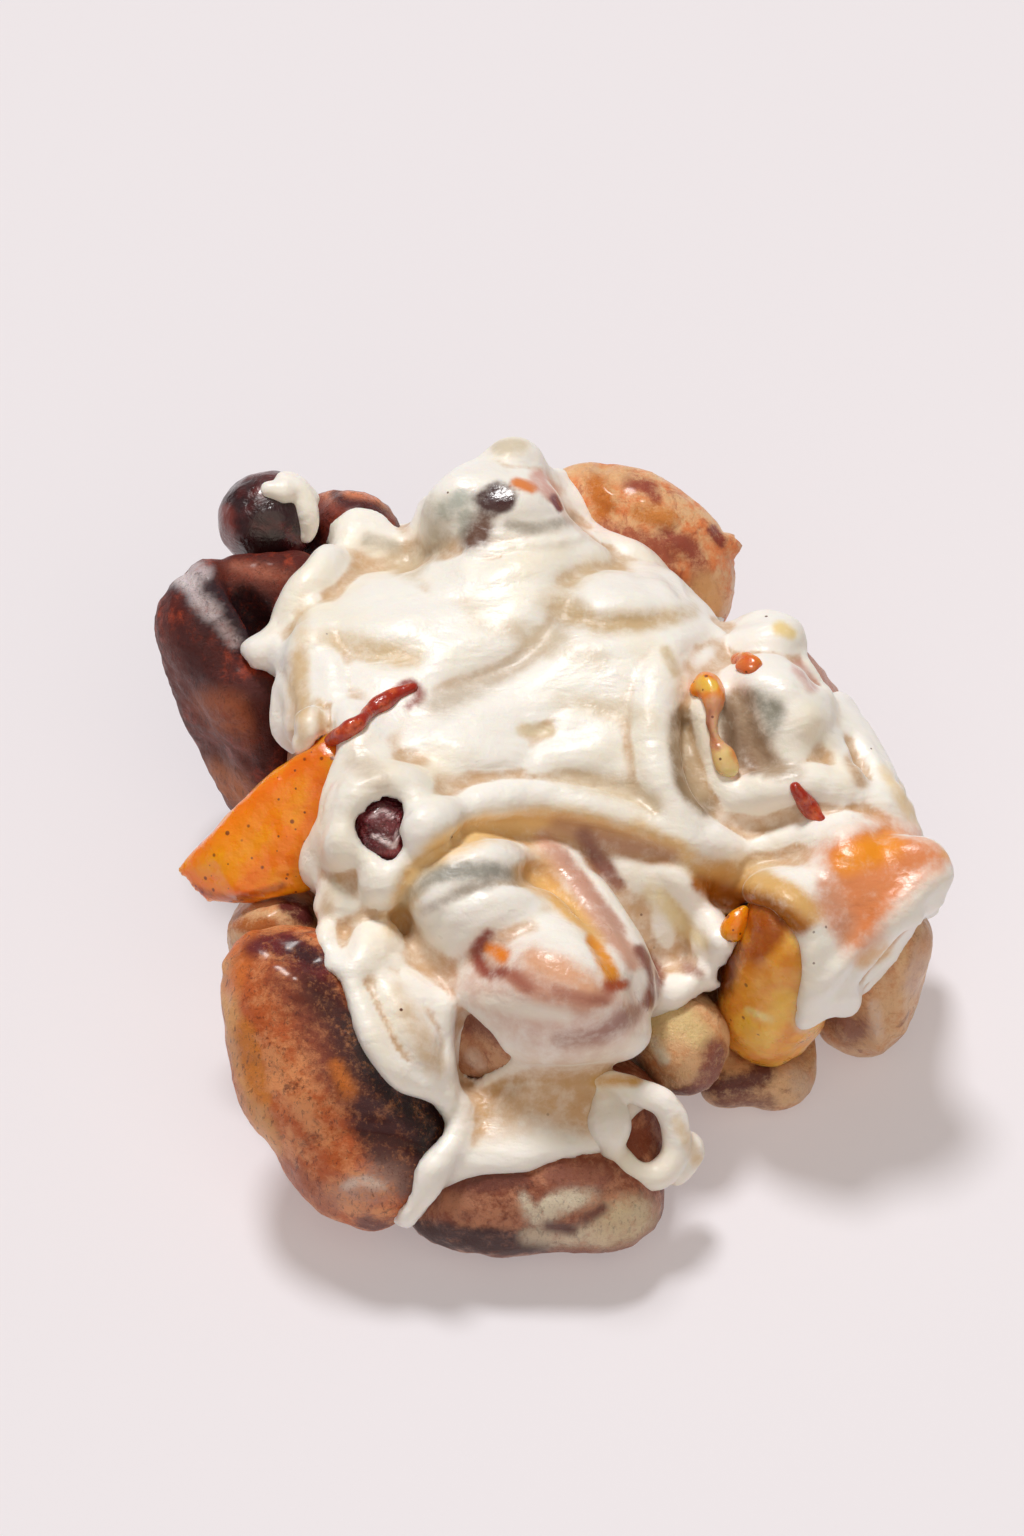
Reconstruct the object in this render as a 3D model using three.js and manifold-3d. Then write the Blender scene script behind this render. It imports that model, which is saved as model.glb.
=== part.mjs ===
// Cinnamon roll bite: one warm helping of a pull-apart roll. Chunks of soft dough baked
// against each other, with peach slices and blueberries between them, lie under a thick
// coat of cream cheese icing that slumps down the front and the sides.
// Millimetres, +Z up, +X to the eater's right, -Y towards the eater. The origin is under
// the middle of the bite, at the height that it rests on.
import * as THREE from "three";
import { mergeVertices } from "three/addons/utils/BufferGeometryUtils.js";
import { ImprovedNoise } from "three/addons/math/ImprovedNoise.js";
import Module from "manifold-3d";

const wasm = await Module();
wasm.setup();

// Driving sizes.
const BERRY = 6.5; // radius of a baked blueberry
const GAP = 0.4; // clearance that neighbouring pieces keep
const POCKET = 0.8; // clearance that dough keeps from the fruit baked into it
const BED = 0.7; // clearance of the icing over the pieces that it lies on
const COAT = 1.9; // icing over the slopes and the fruit
const CROWN_COAT = 2.2; // icing that the crown has on top of that
const THIN_COAT = 1.4; // icing at the bottom of its furrows
const BEAD = 2.6; // how far in from its edge the icing reaches full thickness
const SUNK = 2.5; // how far the icing's skin dives under the dough past its edge
const HEM = 24; // height of the icing's edge at the back and round the sides
const PLATE_CUT = 1.5; // how far below the plate a cutting shape still reaches
const LOWEST_ICING = 3.5; // no drip hangs lower than this
const CRUST_BUMPS = 0.9; // height of the lumps on the dough
const BUMP_SPACING = 8;
const FAR = 90; // beyond every surface of the bite

// How a vertex slides in to a surface: at most so many steps, each this share of the
// distance that is left, until it is this close.
const SLIDE_STEPS = 160;
const SLIDE_SHARE = 0.75;
const SHORTEST_STEP = 0.02;
const ON_SURFACE = 0.004;

const noise = new ImprovedNoise();
const vec = (p) => new THREE.Vector3(...p);
const mix = THREE.MathUtils.lerp;

// Fields: each gives about the distance from a point to a surface, negative inside.
const ball = (centre, radius) => {
  const c = vec(centre);
  return (p) => p.distanceTo(c) - radius;
};

// A ball stretched to three radii and turned by three angles in degrees.
const egg = (centre, radii, turn = [0, 0, 0]) => {
  const c = vec(centre);
  const r = vec(radii);
  const back = new THREE.Quaternion()
    .setFromEuler(new THREE.Euler(...turn.map(THREE.MathUtils.degToRad)))
    .invert();
  const q = new THREE.Vector3();
  return (p) => {
    q.copy(p).sub(c).applyQuaternion(back);
    const reach = q.length();
    const share = Math.max(q.divide(r).length(), 1e-6);
    return (reach * (share - 1)) / share;
  };
};

// A rope through points [x, y, z, radius], smooth along a curve, round across.
const rope = (points, steps = 3) => {
  const line = new THREE.CatmullRomCurve3(points.map((p) => vec(p)));
  const count = (points.length - 1) * steps;
  const spots = [];
  for (let i = 0; i <= count; i++) {
    const t = (i / count) * (points.length - 1);
    const a = Math.min(Math.floor(t), points.length - 2);
    spots.push([line.getPoint(i / count), mix(points[a][3], points[a + 1][3], t - a)]);
  }
  const ab = new THREE.Vector3();
  const ap = new THREE.Vector3();
  return (p) => {
    let least = Infinity;
    for (let i = 0; i < count; i++) {
      const [a, ra] = spots[i];
      const [b, rb] = spots[i + 1];
      ab.subVectors(b, a);
      ap.subVectors(p, a);
      const t = THREE.MathUtils.clamp(ap.dot(ab) / ab.lengthSq(), 0, 1);
      least = Math.min(least, ap.addScaledVector(ab, -t).length() - mix(ra, rb, t));
    }
    return least;
  };
};

// The space on one side of a plane through a point.
const half = (point, outward) => {
  const n = vec(outward).normalize();
  const d = vec(point).dot(n);
  return (p) => p.dot(n) - d;
};

const softMin = (a, b, k) => {
  const h = Math.max(k - Math.abs(a - b), 0) / k;
  return Math.min(a, b) - h * h * k * 0.25;
};
const softMax = (a, b, k) => -softMin(-a, -b, k);
const blend = (k, ...fields) => (p) =>
  fields.reduce((d, f) => softMin(d, f(p), k), FAR);
const carve = (k, field, ...tools) => (p) =>
  tools.reduce((d, f) => softMax(d, -f(p), k), field(p));
const within = (k, ...fields) => (p) =>
  fields.reduce((d, f) => softMax(d, f(p), k), -FAR);

// Rounded lumps of the given height and spacing.
const lumpy = (field, height, spacing, seed = 0) => (p) =>
  field(p) - height * noise.noise(p.x / spacing + seed, p.y / spacing, p.z / spacing);

// Wraps a geodesic sphere on a field: each vertex slides along its ray from the centre
// to the outermost surface. Lean pushes the vertices towards one side, and each round of
// evening out moves every vertex to the middle of its neighbours and slides it again.
function wrap(field, centre, detail, grow = 0, lean = [0, 0, 0], rounds = 0) {
  const sphere = new THREE.IcosahedronGeometry(1, detail);
  sphere.deleteAttribute("normal");
  sphere.deleteAttribute("uv");
  const skin = mergeVertices(sphere, 1e-4);
  const place = skin.getAttribute("position");
  const c = vec(centre);
  const floor = grow > 0 ? -PLATE_CUT : 0;
  const ray = new THREE.Vector3();
  const p = new THREE.Vector3();
  const slide = (i) => {
    ray.normalize();
    const down = ray.z < -1e-6 ? (floor - c.z) / ray.z : FAR;
    let r = Math.min(FAR, down);
    for (let n = 0; n < SLIDE_STEPS; n++) {
      const d = field(p.copy(c).addScaledVector(ray, r)) - grow;
      if (d < ON_SURFACE) break;
      r -= Math.max(d * SLIDE_SHARE, SHORTEST_STEP);
    }
    p.copy(c).addScaledVector(ray, Math.max(r, GAP));
    if (down - r < ON_SURFACE) p.z = floor;
    place.setXYZ(i, p.x, p.y, p.z);
  };
  const leaning = vec(lean);
  for (let i = 0; i < place.count; i++) {
    ray.fromBufferAttribute(place, i).add(leaning);
    slide(i);
  }
  const beside = Array.from({ length: place.count }, () => []);
  for (let i = 0; i < skin.index.count; i += 3) {
    const [a, b, d] = skin.index.array.subarray(i, i + 3);
    beside[a].push(b);
    beside[b].push(d);
    beside[d].push(a);
  }
  for (let n = 0; n < rounds; n++) {
    for (let i = 0; i < place.count; i++) {
      ray.set(0, 0, 0);
      for (const j of beside[i]) ray.add(p.fromBufferAttribute(place, j));
      ray.divideScalar(beside[i].length).sub(c);
      slide(i);
    }
  }
  return skin;
}

// The eater's view: looking down at EYE_TILT from EYE, a point is seen so many view units
// right of the left edge and below the top edge. Half a view is VIEW_MIDDLE, and
// VIEW_SCALE units make a millimetre at the middle of the bite.
const EYE = vec([-5.73, -313.71, 413.47]);
const EYE_TILT = THREE.MathUtils.degToRad(50);
const EYE_REACH = 500;
const VIEW_SCALE = 7.68;
const VIEW_MIDDLE = [512, 768];
const ahead = vec([0, Math.cos(EYE_TILT), -Math.sin(EYE_TILT)]);
const above = vec([0, Math.sin(EYE_TILT), Math.cos(EYE_TILT)]);

function seen(p) {
  const y = p.y - EYE.y;
  const z = p.z - EYE.z;
  const scale = (VIEW_SCALE * EYE_REACH) / (y * ahead.y + z * ahead.z);
  return [
    VIEW_MIDDLE[0] + (p.x - EYE.x) * scale,
    VIEW_MIDDLE[1] - (y * above.y + z * above.z) * scale,
  ];
}

// How far inside an outline drawn in the eater's view a point is seen, in millimetres.
const outline = (corners) => (p) => {
  const [u, v] = seen(p);
  let least = Infinity;
  let crossed = false;
  for (let i = 0; i < corners.length; i++) {
    const [au, av] = corners[i];
    const [bu, bv] = corners[(i + 1) % corners.length];
    const eu = bu - au;
    const ev = bv - av;
    const along = ((u - au) * eu + (v - av) * ev) / (eu * eu + ev * ev);
    const t = THREE.MathUtils.clamp(along, 0, 1);
    least = Math.min(least, Math.hypot(u - au - eu * t, v - av - ev * t));
    if (av > v !== bv > v && u < (eu * (v - av)) / ev + au) crossed = !crossed;
  }
  return (crossed ? least : -least) / VIEW_SCALE;
};

// A smooth swell along a line drawn in the eater's view: points are [u, v, height, width].
const swell = (points) => (p) => {
  const [u, v] = seen(p);
  let least = Infinity;
  let high = 0;
  for (let i = 0; i + 1 < points.length; i++) {
    const [au, av, ah, aw] = points[i];
    const [bu, bv, bh, bw] = points[i + 1];
    const eu = bu - au;
    const ev = bv - av;
    const along = ((u - au) * eu + (v - av) * ev) / Math.max(eu * eu + ev * ev, 1);
    const t = THREE.MathUtils.clamp(along, 0, 1);
    const off = Math.hypot(u - au - eu * t, v - av - ev * t) / VIEW_SCALE / mix(aw, bw, t);
    if (off < least) {
      least = off;
      high = mix(ah, bh, t);
    }
  }
  return least < 1 ? high * (1 - least * least) ** 2 : 0;
};

const solidOf = (skin) =>
  new wasm.Manifold(
    new wasm.Mesh({
      numProp: 3,
      vertProperties: new Float32Array(skin.getAttribute("position").array),
      triVerts: new Uint32Array(skin.index.array),
    }),
  );

// The largest body of a solid, which drops loose scraps left by a cut.
const largest = (solid) =>
  solid.decompose().sort((a, b) => b.volume() - a.volume())[0];

function geometryOf(solid) {
  const mesh = solid.getMesh();
  const places = new Float32Array(mesh.numVert * 3);
  for (let i = 0; i < mesh.numVert; i++) {
    const at = i * mesh.numProp;
    places.set(mesh.vertProperties.subarray(at, at + 3), i * 3);
  }
  return new THREE.BufferGeometry()
    .setAttribute("position", new THREE.BufferAttribute(places, 3))
    .setIndex(new THREE.BufferAttribute(new Uint32Array(mesh.triVerts), 1));
}

const looks = {
  dough: new THREE.MeshStandardMaterial({ color: 0xc08a54, roughness: 0.6 }),
  crust: new THREE.MeshStandardMaterial({ color: 0x6b3524, roughness: 0.5 }),
  icing: new THREE.MeshStandardMaterial({ color: 0xf3ecdc, roughness: 0.35 }),
  peach: new THREE.MeshStandardMaterial({ color: 0xee8a14, roughness: 0.35 }),
  peel: new THREE.MeshStandardMaterial({ color: 0xa8301c, roughness: 0.4 }),
  berry: new THREE.MeshStandardMaterial({ color: 0x2c161c, roughness: 0.3 }),
};

// A slice cut flat on both faces: its outline is drawn in the eater's view, and its middle
// plane goes through a point and looks along facing.
function slice(corners, point, facing, thickness) {
  const shape = outline(corners);
  const plane = half(point, facing);
  return within(1.2, (p) => -shape(p), (p) => Math.abs(plane(p)) - thickness / 2);
}

const leftSlice = [
  [162, 886], [195, 853], [231, 813], [271, 775], [306, 751], [333, 731], [352, 735],
  [376, 772], [362, 836], [330, 880], [302, 893], [282, 892], [244, 906], [213, 904], [187, 896],
];
const leftSliceFacing = [-0.2, -0.6, 0.77];

const fruit = [];
const chunks = [];

function addBerries() {
  const berry = (name, centre, radii, detail = 1) =>
    fruit.push({ name, look: "berry", field: lumpy(egg(centre, radii), 0.35, 4), centre, detail });
  berry("berry_left", [-38.7, 45.3, 37.7], [BERRY, BERRY, BERRY * 0.97], 3);
  berry("berry_crown", [-8, 40.6, 41.6], [BERRY, BERRY * 0.9, BERRY * 0.85], 2);
  berry("berry_hollow", [-22, -11, 40.2], [4.4, 4.4, 4.4]);
  berry("berry_right", [27.5, 9.4, 37.2], [BERRY * 0.9, BERRY * 0.9, BERRY * 0.88]);
  berry("berry_swirl", [-11, -17.2, 36.4], [BERRY, BERRY, BERRY * 0.95]);
}

function addPeaches() {
  const peach = (name, field, centre, detail = 1) =>
    fruit.push({ name, look: "peach", field, centre, detail });
  const left = slice(leftSlice, [-32, -3, 37], leftSliceFacing, 6);
  peach("peach_left", left, [-33, -3.6, 36.6], 3);
  const swirl = rope([[-7, -29, 36, 2.2], [1, -31.6, 35.4, 2.6], [8, -31, 34, 2]]);
  peach("peach_swirl", swirl, [1, -31.2, 35.2]);
  const right = blend(
    3,
    ball([36.3, -11.6, 34.2], 3.8),
    ball([47.2, -12.6, 34.4], 3),
    ball([40.8, -14.6, 30.4], 4.8),
    ball([36.6, -21, 22], 3.8),
  );
  peach("peach_right", right, [40.3, -14.6, 30.5], 2);
  const lower = rope([[29.3, -18.6, 29, 6.2], [28.1, -19.7, 20, 6.9], [27.2, -19.8, 13, 5.9]]);
  peach("peach_lower", lower, [27.9, -19.7, 20.5], 3);
}

// Pieces that lie on the icing or hang from it.
function toppings() {
  const crumb = egg([-5.3, 48, 45.6], [3.1, 2.5, 2.4]);
  const bitFlap = blend(1, ball([22.6, -22.7, 37], 1.6), ball([23.9, -22.1, 37.8], 1));
  const bitBack = rope([[23.3, 12.2, 45.6, 1.5], [25.2, 11.4, 46.6, 1.6]]);
  const strip = rope([[18.4, 11.2, 44.6, 1.8], [20.1, 7.6, 43.1, 2.2], [22.3, 0.8, 39.9, 2.4]]);
  const peelLeft = rope([[-28.6, 0.2, 45.4, 1.3], [-25.5, -1, 49, 1.6], [-21, 4.2, 48.4, 1.4]]);
  const peelRight = rope([[30.6, -4.8, 41.7, 1.1], [32, -6.6, 40.6, 1.4], [33.6, -8.5, 39.6, 1.2]]);
  const bead = blend(
    1.2,
    rope([[-36.4, 46.8, 43.2, 1.2], [-34.6, 43.9, 43, 1.5], [-34, 41.4, 40.6, 1.2]]),
    ball([-37.2, 43.6, 43.6], 1.3),
  );
  const drips = blend(
    1.2,
    rope([
      [8.2, -36.7, 20.5, 1.8], [10.7, -37.3, 20.4, 2.1], [13.2, -37.8, 19.4, 2.3],
      [14.6, -39.6, 16.8, 2.4], [14.6, -41.8, 13.8, 2.4], [12.3, -44, 11.8, 2.3],
      [9.5, -45, 13.2, 2], [7.7, -43.5, 15, 1.8],
    ]),
    rope([[6.4, -39.2, 19.6, 2.6], [6.6, -41.4, 17.6, 2.9]]),
    rope([[14.8, -39.4, 14.4, 2.4], [16.9, -39.8, 11.2, 2.6], [14.9, -42.3, 9.8, 2.2]]),
  );
  return [
    { name: "berry_crown_small", look: "berry", field: crumb, centre: [-5.3, 48, 45.6], detail: 1 },
    { name: "peach_bit_flap", look: "peach", field: bitFlap, centre: [22.8, -22.6, 37.1], detail: 1 },
    { name: "peach_bit_back", look: "peach", field: bitBack, centre: [24.2, 11.8, 46.1], detail: 1 },
    { name: "peach_strip", look: "peach", field: strip, centre: [20.2, 6.8, 42.8], detail: 1 },
    { name: "peel_left", look: "peel", field: peelLeft, centre: [-25.2, 0, 48.6], detail: 1 },
    { name: "peel_right", look: "peel", field: peelRight, centre: [32, -6.6, 40.6], detail: 1 },
    { name: "icing_bead", look: "icing", field: bead, centre: [-35.2, 44.2, 43], detail: 1 },
    { name: "icing_drips", look: "icing", field: drips, centre: [10.8, -39.4, 14.4], detail: 4 },
  ];
}

// Dough chunks, each torn from a roll and baked against the next.
function addDough() {
  const chunk = (name, look, field, centre, detail) =>
    chunks.push({
      name, look, field: lumpy(field, CRUST_BUMPS, BUMP_SPACING, name.length), centre, detail,
    });

  const slab = rope([[-46.8, 29.5, 35, 6.8], [-44.5, 27.5, 22, 6.3], [-40.2, 24, 8, 5.2]]);
  const slabFront = rope([[-40, 21.5, 29, 6], [-37.4, 21.5, 9, 6]]);
  const slabBody = rope([[-34.4, 35, 28, 9.5], [-32, 28, 8, 12]]);
  const fold = rope([[-42.3, 36, 37.2, 3.8], [-35.6, 34.5, 37.4, 4.6]]);
  const crease = rope([[-41.6, 31.4, 43.4, 1.8], [-38.4, 28, 40, 2.6], [-36.6, 25, 35, 2]]);
  const left = carve(1.5, blend(3, slab, slabFront, slabBody, fold), crease);
  chunk("dough_left", "crust", left, [-40, 28.5, 22], 4);

  const backLeft = blend(
    3,
    ball([-32.6, 48.6, 35.6], 5.2),
    ball([-25.2, 46.3, 37.6], 4),
    rope([[-28.6, 44.6, 27, 10.4], [-27, 42, 9, 12.4]]),
  );
  chunk("dough_back_left", "crust", backLeft, [-28.8, 46, 20], 3);

  const ear = rope([
    [3.3, 49.8, 36, 5.7], [11.6, 46.9, 37, 6.2], [18.6, 42.3, 32.5, 5.6], [18.6, 40.4, 24, 4.8],
  ]);
  const earBody = rope([[8.6, 43.4, 26, 11], [11, 40, 9, 13]]);
  const backRight = blend(3, ear, earBody, ball([23.3, 45.6, 32], 1.1));
  chunk("dough_back_right", "dough", backRight, [10.5, 45, 24], 4);

  const back = blend(
    3,
    ball([-10.1, 45, 30], 9),
    ball([-14, 41.4, 38.4], 6.4),
    rope([[-10.2, 43, 24, 11.6], [-10.3, 40, 9, 14]]),
  );
  chunk("dough_back", "dough", back, [-10.2, 43.5, 19], 2);

  const rightBack = blend(
    3,
    ball([28.1, 20.7, 34.6], 5.6),
    ball([32.6, 21.2, 33], 3),
    ball([33.4, 9, 27.4], 8.6),
    rope([[27.6, 20, 24, 11], [28, 20, 9, 13.6]]),
    ball([31, 4, 12], 12),
    rope([
      [23.7, -2.6, 33, 6], [30.5, -0.6, 32.4, 6], [35.7, -2, 31.6, 5.6], [42, -3, 30, 5],
      [46, -4.6, 29.4, 4],
    ]),
  );
  chunk("dough_right_back", "dough", rightBack, [29.5, 16.5, 20], 3);

  const rightFront = blend(
    1.6,
    rope([[43.9, -14.4, 24, 5], [40.6, -15.2, 9, 5.4]]),
    ball([43.4, -11.6, 6], 4.6),
    ball([41, -14.6, 3.6], 4.6),
    ball([37.6, -14, 6], 4.6),
    ball([38, -5, 12], 11),
  );
  chunk("dough_right_front", "dough", rightFront, [40.8, -10.5, 13], 3);

  const rightLower = blend(
    2,
    ball([28.9, -22.4, 5.2], 5.6),
    ball([21.2, -23.4, 6], 5.4),
    ball([25.4, -12, 8.6], 10),
  );
  chunk("dough_right_lower", "dough", rightLower, [25.4, -18, 6.5], 2);

  const lowerLeft = blend(
    4,
    ball([-34, -26.9, 28.6], 8.6),
    ball([-30.2, -33.1, 21], 10.2),
    ball([-24.9, -38.2, 12.6], 10.6),
    ball([-22.8, -31.6, 23.5], 9),
    ball([-19.8, -40.4, 11], 9.2),
    ball([-28, -29, 8], 9),
  );
  chunk("dough_lower_left", "dough", lowerLeft, [-27.6, -32.5, 17.5], 4);

  const front = blend(
    3,
    rope([[-16.1, -41.8, 8.4, 8], [-4.7, -43, 8.4, 8.3], [5.4, -43, 8.4, 7.8]]),
    ball([7.4, -43.4, 6.2], 6),
    ball([-3.5, -34, 10.5], 9.5),
    ball([6.5, -33, 11], 8),
  );
  chunk("dough_front", "dough", front, [-3.6, -40.5, 9.5], 4);

  const leftSmall = blend(
    3,
    ball([-37.2, -13.9, 26.6], 5.6),
    rope([[-34, -12, 20, 8], [-33, -12, 7, 8.6]]),
    ball([-31.6, 2, 10], 10),
  );
  chunk("dough_left_small", "dough", leftSmall, [-34.6, -12.6, 18], 2);

  const middleFront = blend(
    3,
    ball([15.7, -25.5, 15], 6.6),
    ball([12, -18, 12], 8),
    ball([14, -21, 6], 6.6),
  );
  chunk("dough_middle_front", "dough", middleFront, [14.5, -23, 13.5], 2);

  const knob = blend(
    4,
    egg([-0.4, -28.8, 28.8], [11.5, 8.4, 8.6], [20, 8, -8]),
    ball([0, -15, 20], 13),
    ball([-8, -29, 19.5], 6.5),
    ball([-13, -27, 18], 7),
  );
  chunk("dough_swirl", "dough", knob, [0, -24, 24], 2);

  const core = blend(
    6,
    ball([-8, 22, 21.4], 21.5),
    ball([8, 20, 21.4], 21),
    ball([-17, 1, 23], 19.4),
    ball([-21, 19, 26.6], 15.5),
    ball([10, 2, 20], 19.5),
    ball([-2, 10, 12], 26),
  );
  chunk("dough_core", "dough", core, [-4, 10, 18], 3);
}

// A chunk ends halfway to its neighbours, as soft dough does when it rises against
// them, and leaves room for the fruit.
function squeezed(chunk) {
  const others = chunks.filter((one) => one !== chunk);
  return (p) => {
    const own = chunk.field(p);
    if (own > BED) return own;
    let d = own;
    for (const one of others) d = Math.max(d, (own - one.field(p)) / 2 + GAP);
    for (const one of fruit) d = Math.max(d, POCKET - one.field(p));
    return d;
  };
}

// Icing. Its edge in the eater's view, going down the left side first. Where the icing
// goes on round the back or the right, the edge is drawn outside the bite.
const icingEdge = outline([
  [404, 516], [360, 508], [342, 512], [327, 523], [322, 541], [306, 569], [291, 583],
  [276, 613], [264, 631], [241, 646], [246, 659], [259, 671], [271, 672], [287, 700],
  [286, 727], [292, 745], [300, 757], [332, 735], [340, 742], [338, 754], [332, 776],
  [326, 798], [319, 823], [304, 845], [300, 861], [302, 886], [312, 899], [316, 913],
  [315, 943], [325, 960], [322, 969], [341, 985], [359, 1038], [379, 1070], [400, 1091],
  [426, 1099], [441, 1123], [438, 1140], [417, 1164], [411, 1190], [397, 1211], [386, 1229],
  [410, 1233], [420, 1220], [436, 1196], [458, 1184], [482, 1175], [529, 1172], [549, 1163],
  [598, 1154], [618, 1146], [630, 1120], [648, 1104], [644, 1085], [632, 1070], [629, 1053],
  [652, 1023], [708, 997], [720, 989], [724, 970],
  [738, 945], [729, 916], [707, 896], [716, 894], [754, 906], [779, 911], [806, 924],
  [824, 940], [829, 971], [812, 1010], [804, 1042], [821, 1023], [836, 1008], [857, 999],
  [882, 978], [904, 949], [921, 921], [943, 914], [962, 900], [990, 870], [980, 820],
  [940, 780], [910, 740], [870, 700], [845, 690], [816, 695], [802, 668], [806, 640],
  [815, 620], [800, 590], [770, 585], [728, 590], [715, 612], [704, 614], [687, 601],
  [677, 578], [642, 544], [601, 527], [579, 488], [566, 470], [556, 452], [550, 420],
  [480, 415], [430, 430], [390, 480],
]);

// Spots inside that edge where a berry or dough shows through a hole in the icing.
const bareSpots = [
  [
    [356, 817], [369, 801], [386, 796], [399, 801], [402, 820], [399, 834], [406, 846],
    [391, 860], [380, 852], [361, 840],
  ],
  [
    [468, 494], [487, 478], [509, 479], [523, 494], [513, 509], [502, 523], [494, 550],
    [466, 551], [470, 520],
  ],
  [[459, 1012], [476, 1015], [503, 1028], [518, 1056], [491, 1076], [460, 1091]],
].map(outline);

// Swells and furrows of the icing: [u, v, height, half width] along each line.
const swells = {
  crownMound: [[430, 505, 1.5, 5], [480, 480, 2.2, 6], [545, 500, 1.5, 5]],
  insideArch: [
    [410, 930, -0.8, 4], [440, 872, -1.2, 5], [500, 850, -1.2, 5], [580, 850, -1, 5],
    [640, 880, -1, 4],
  ],
  knobTop: [
    [440, 950, 1, 3], [470, 925, 1.6, 3], [520, 912, 1.8, 3], [560, 930, 1.6, 3],
    [600, 965, 1.4, 3],
  ],
  pinkRidge: [
    [535, 818, 1.4, 2.6], [564, 848, 1.6, 3], [598, 897, 1.6, 3], [625, 940, 1.4, 3],
    [648, 980, 0.8, 3],
  ],
  leftFall: [
    [318, 560, 1, 4], [300, 610, 1.8, 4.6], [305, 660, 2, 4.6], [312, 710, 1.6, 4],
    [312, 740, 1, 3],
  ],
  leftTip: [[300, 640, 1.2, 3.4], [262, 650, 1.4, 2.8]],
  topLeft: [[345, 535, 1.6, 4], [395, 540, 0.8, 4]],
  leftBulge: [[330, 838, 1.6, 4], [322, 880, 2, 4.2], [336, 918, 1.2, 3.4]],
  behindBerry: [[345, 760, 0.6, 4], [390, 775, 1, 4]],
  curtainStem: [[378, 930, 0.8, 2.4], [368, 962, 1.4, 3.4], [345, 978, 1, 3]],
  curtainLeft: [
    [348, 985, 1, 2.2], [368, 1030, 1.6, 2.6], [390, 1066, 1.8, 2.8], [425, 1092, 1.6, 2.8],
    [452, 1112, 1.4, 2.4],
  ],
  curtainFold: [
    [372, 980, 1, 2.4], [390, 1010, 1.4, 2.6], [412, 1045, 1.4, 2.6], [440, 1080, 1.2, 2.4],
  ],
  curtainRight: [
    [395, 965, 1, 2.4], [425, 990, 1.4, 2.6], [445, 1022, 1.6, 2.6], [451, 1070, 1.6, 2.6],
    [456, 1120, 1.2, 2.6],
  ],
  branch: [
    [456, 1125, 1.2, 3], [440, 1160, 1.4, 3.2], [424, 1192, 1.2, 2.6],
    [398, 1224, 1.2, 2.4],
  ],
  pool: [[470, 1150, 0.4, 4], [530, 1110, 0.4, 5], [590, 1080, 0.4, 5]],
  underKnob: [
    [490, 1094, -1, 2.2], [520, 1078, -1.6, 2.4], [560, 1072, -1.6, 2.4],
    [620, 1068, -1.2, 2.2],
  ],
  flap: [
    [655, 868, 1, 3], [690, 890, 2.4, 3.4], [718, 928, 3, 3.6], [712, 965, 2.8, 3.6],
    [680, 996, 2, 3.4], [645, 1020, 1.4, 3],
  ],
  flapBody: [[650, 900, 0.6, 4], [680, 940, 0.8, 4.4]],
  underFlap: [[740, 884, -1.6, 3], [704, 872, -1.4, 2.4]],
  crater: [
    [704, 700, -1.4, 2.6], [702, 740, -2.6, 3.4], [712, 786, -2.6, 3.2],
    [740, 820, -1, 2.6],
  ],
  craterLip: [
    [690, 640, 1, 3], [668, 690, 1.6, 3.2], [664, 740, 1.8, 3.4], [680, 795, 2, 3.4],
    [715, 832, 1.8, 3.2], [760, 850, 1.2, 3],
  ],
  hollowRight: [[752, 690, -0.8, 3.4], [748, 740, -1, 4], [770, 765, -0.8, 3]],
  shelf: [
    [738, 786, 1.2, 2.8], [790, 776, 2, 3.2], [830, 790, 2.2, 3.4], [880, 806, 1.6, 3],
    [920, 822, 1.2, 3],
  ],
  rightFolds: [[838, 735, 1.4, 3], [856, 765, 1.4, 2.8], [880, 790, 1, 2.6]],
  rightBackBump: [[783, 628, 1.2, 3.6], [740, 636, 0.8, 3.6]],
  peachHem: [
    [955, 870, 1.2, 2.6], [925, 900, 1.6, 2.8], [880, 960, 1.6, 3], [836, 1000, 1.4, 3],
    [812, 1030, 1, 2.4],
  ],
};

// Icing is thickest on the crown, where it was poured, and rounds off at its edge.
function coat(p) {
  const forward = -(p.y * ahead.y + (p.z - 8) * ahead.z) / Math.hypot(p.x, p.y, p.z - 8);
  const hidden = 1 - THREE.MathUtils.smoothstep(forward, -0.05, 0.1);
  const wave = 3 * Math.sin(p.x / 9) + 2 * Math.sin(p.y / 7 + 1);
  let d = Math.min(icingEdge(p), p.z - mix(-FAR, HEM + wave, hidden));
  for (const spot of bareSpots) d = Math.min(d, mix(-spot(p), FAR, hidden));
  if (d <= 0) return Math.max(d * mix(2, 0.6, hidden), -SUNK);
  const near = Math.min(d / mix(BEAD, BEAD * 2, hidden), 1);
  const round = Math.sqrt(Math.max(0, 1 - (1 - near) ** 2));
  const high = THREE.MathUtils.smoothstep(p.z + p.y * 0.35 - Math.max(p.x, 0) * 0.25, 30, 46);
  const crown = high * (1 - THREE.MathUtils.smoothstep(p.y, 32, 42));
  let thick = COAT + CROWN_COAT * crown;
  for (const line of Object.values(swells)) thick += swell(line)(p) * (1 - hidden);
  return Math.max(thick, THIN_COAT) * round;
}

function icingField() {
  const mound = blend(3.5, ...fruit.map((one) => one.field), ...chunks.map((one) => one.field));
  const skin = (p) => {
    const d = mound(p);
    return d > FAR / 9 ? d - COAT : d - coat(p);
  };
  return { mound, skin };
}

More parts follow.
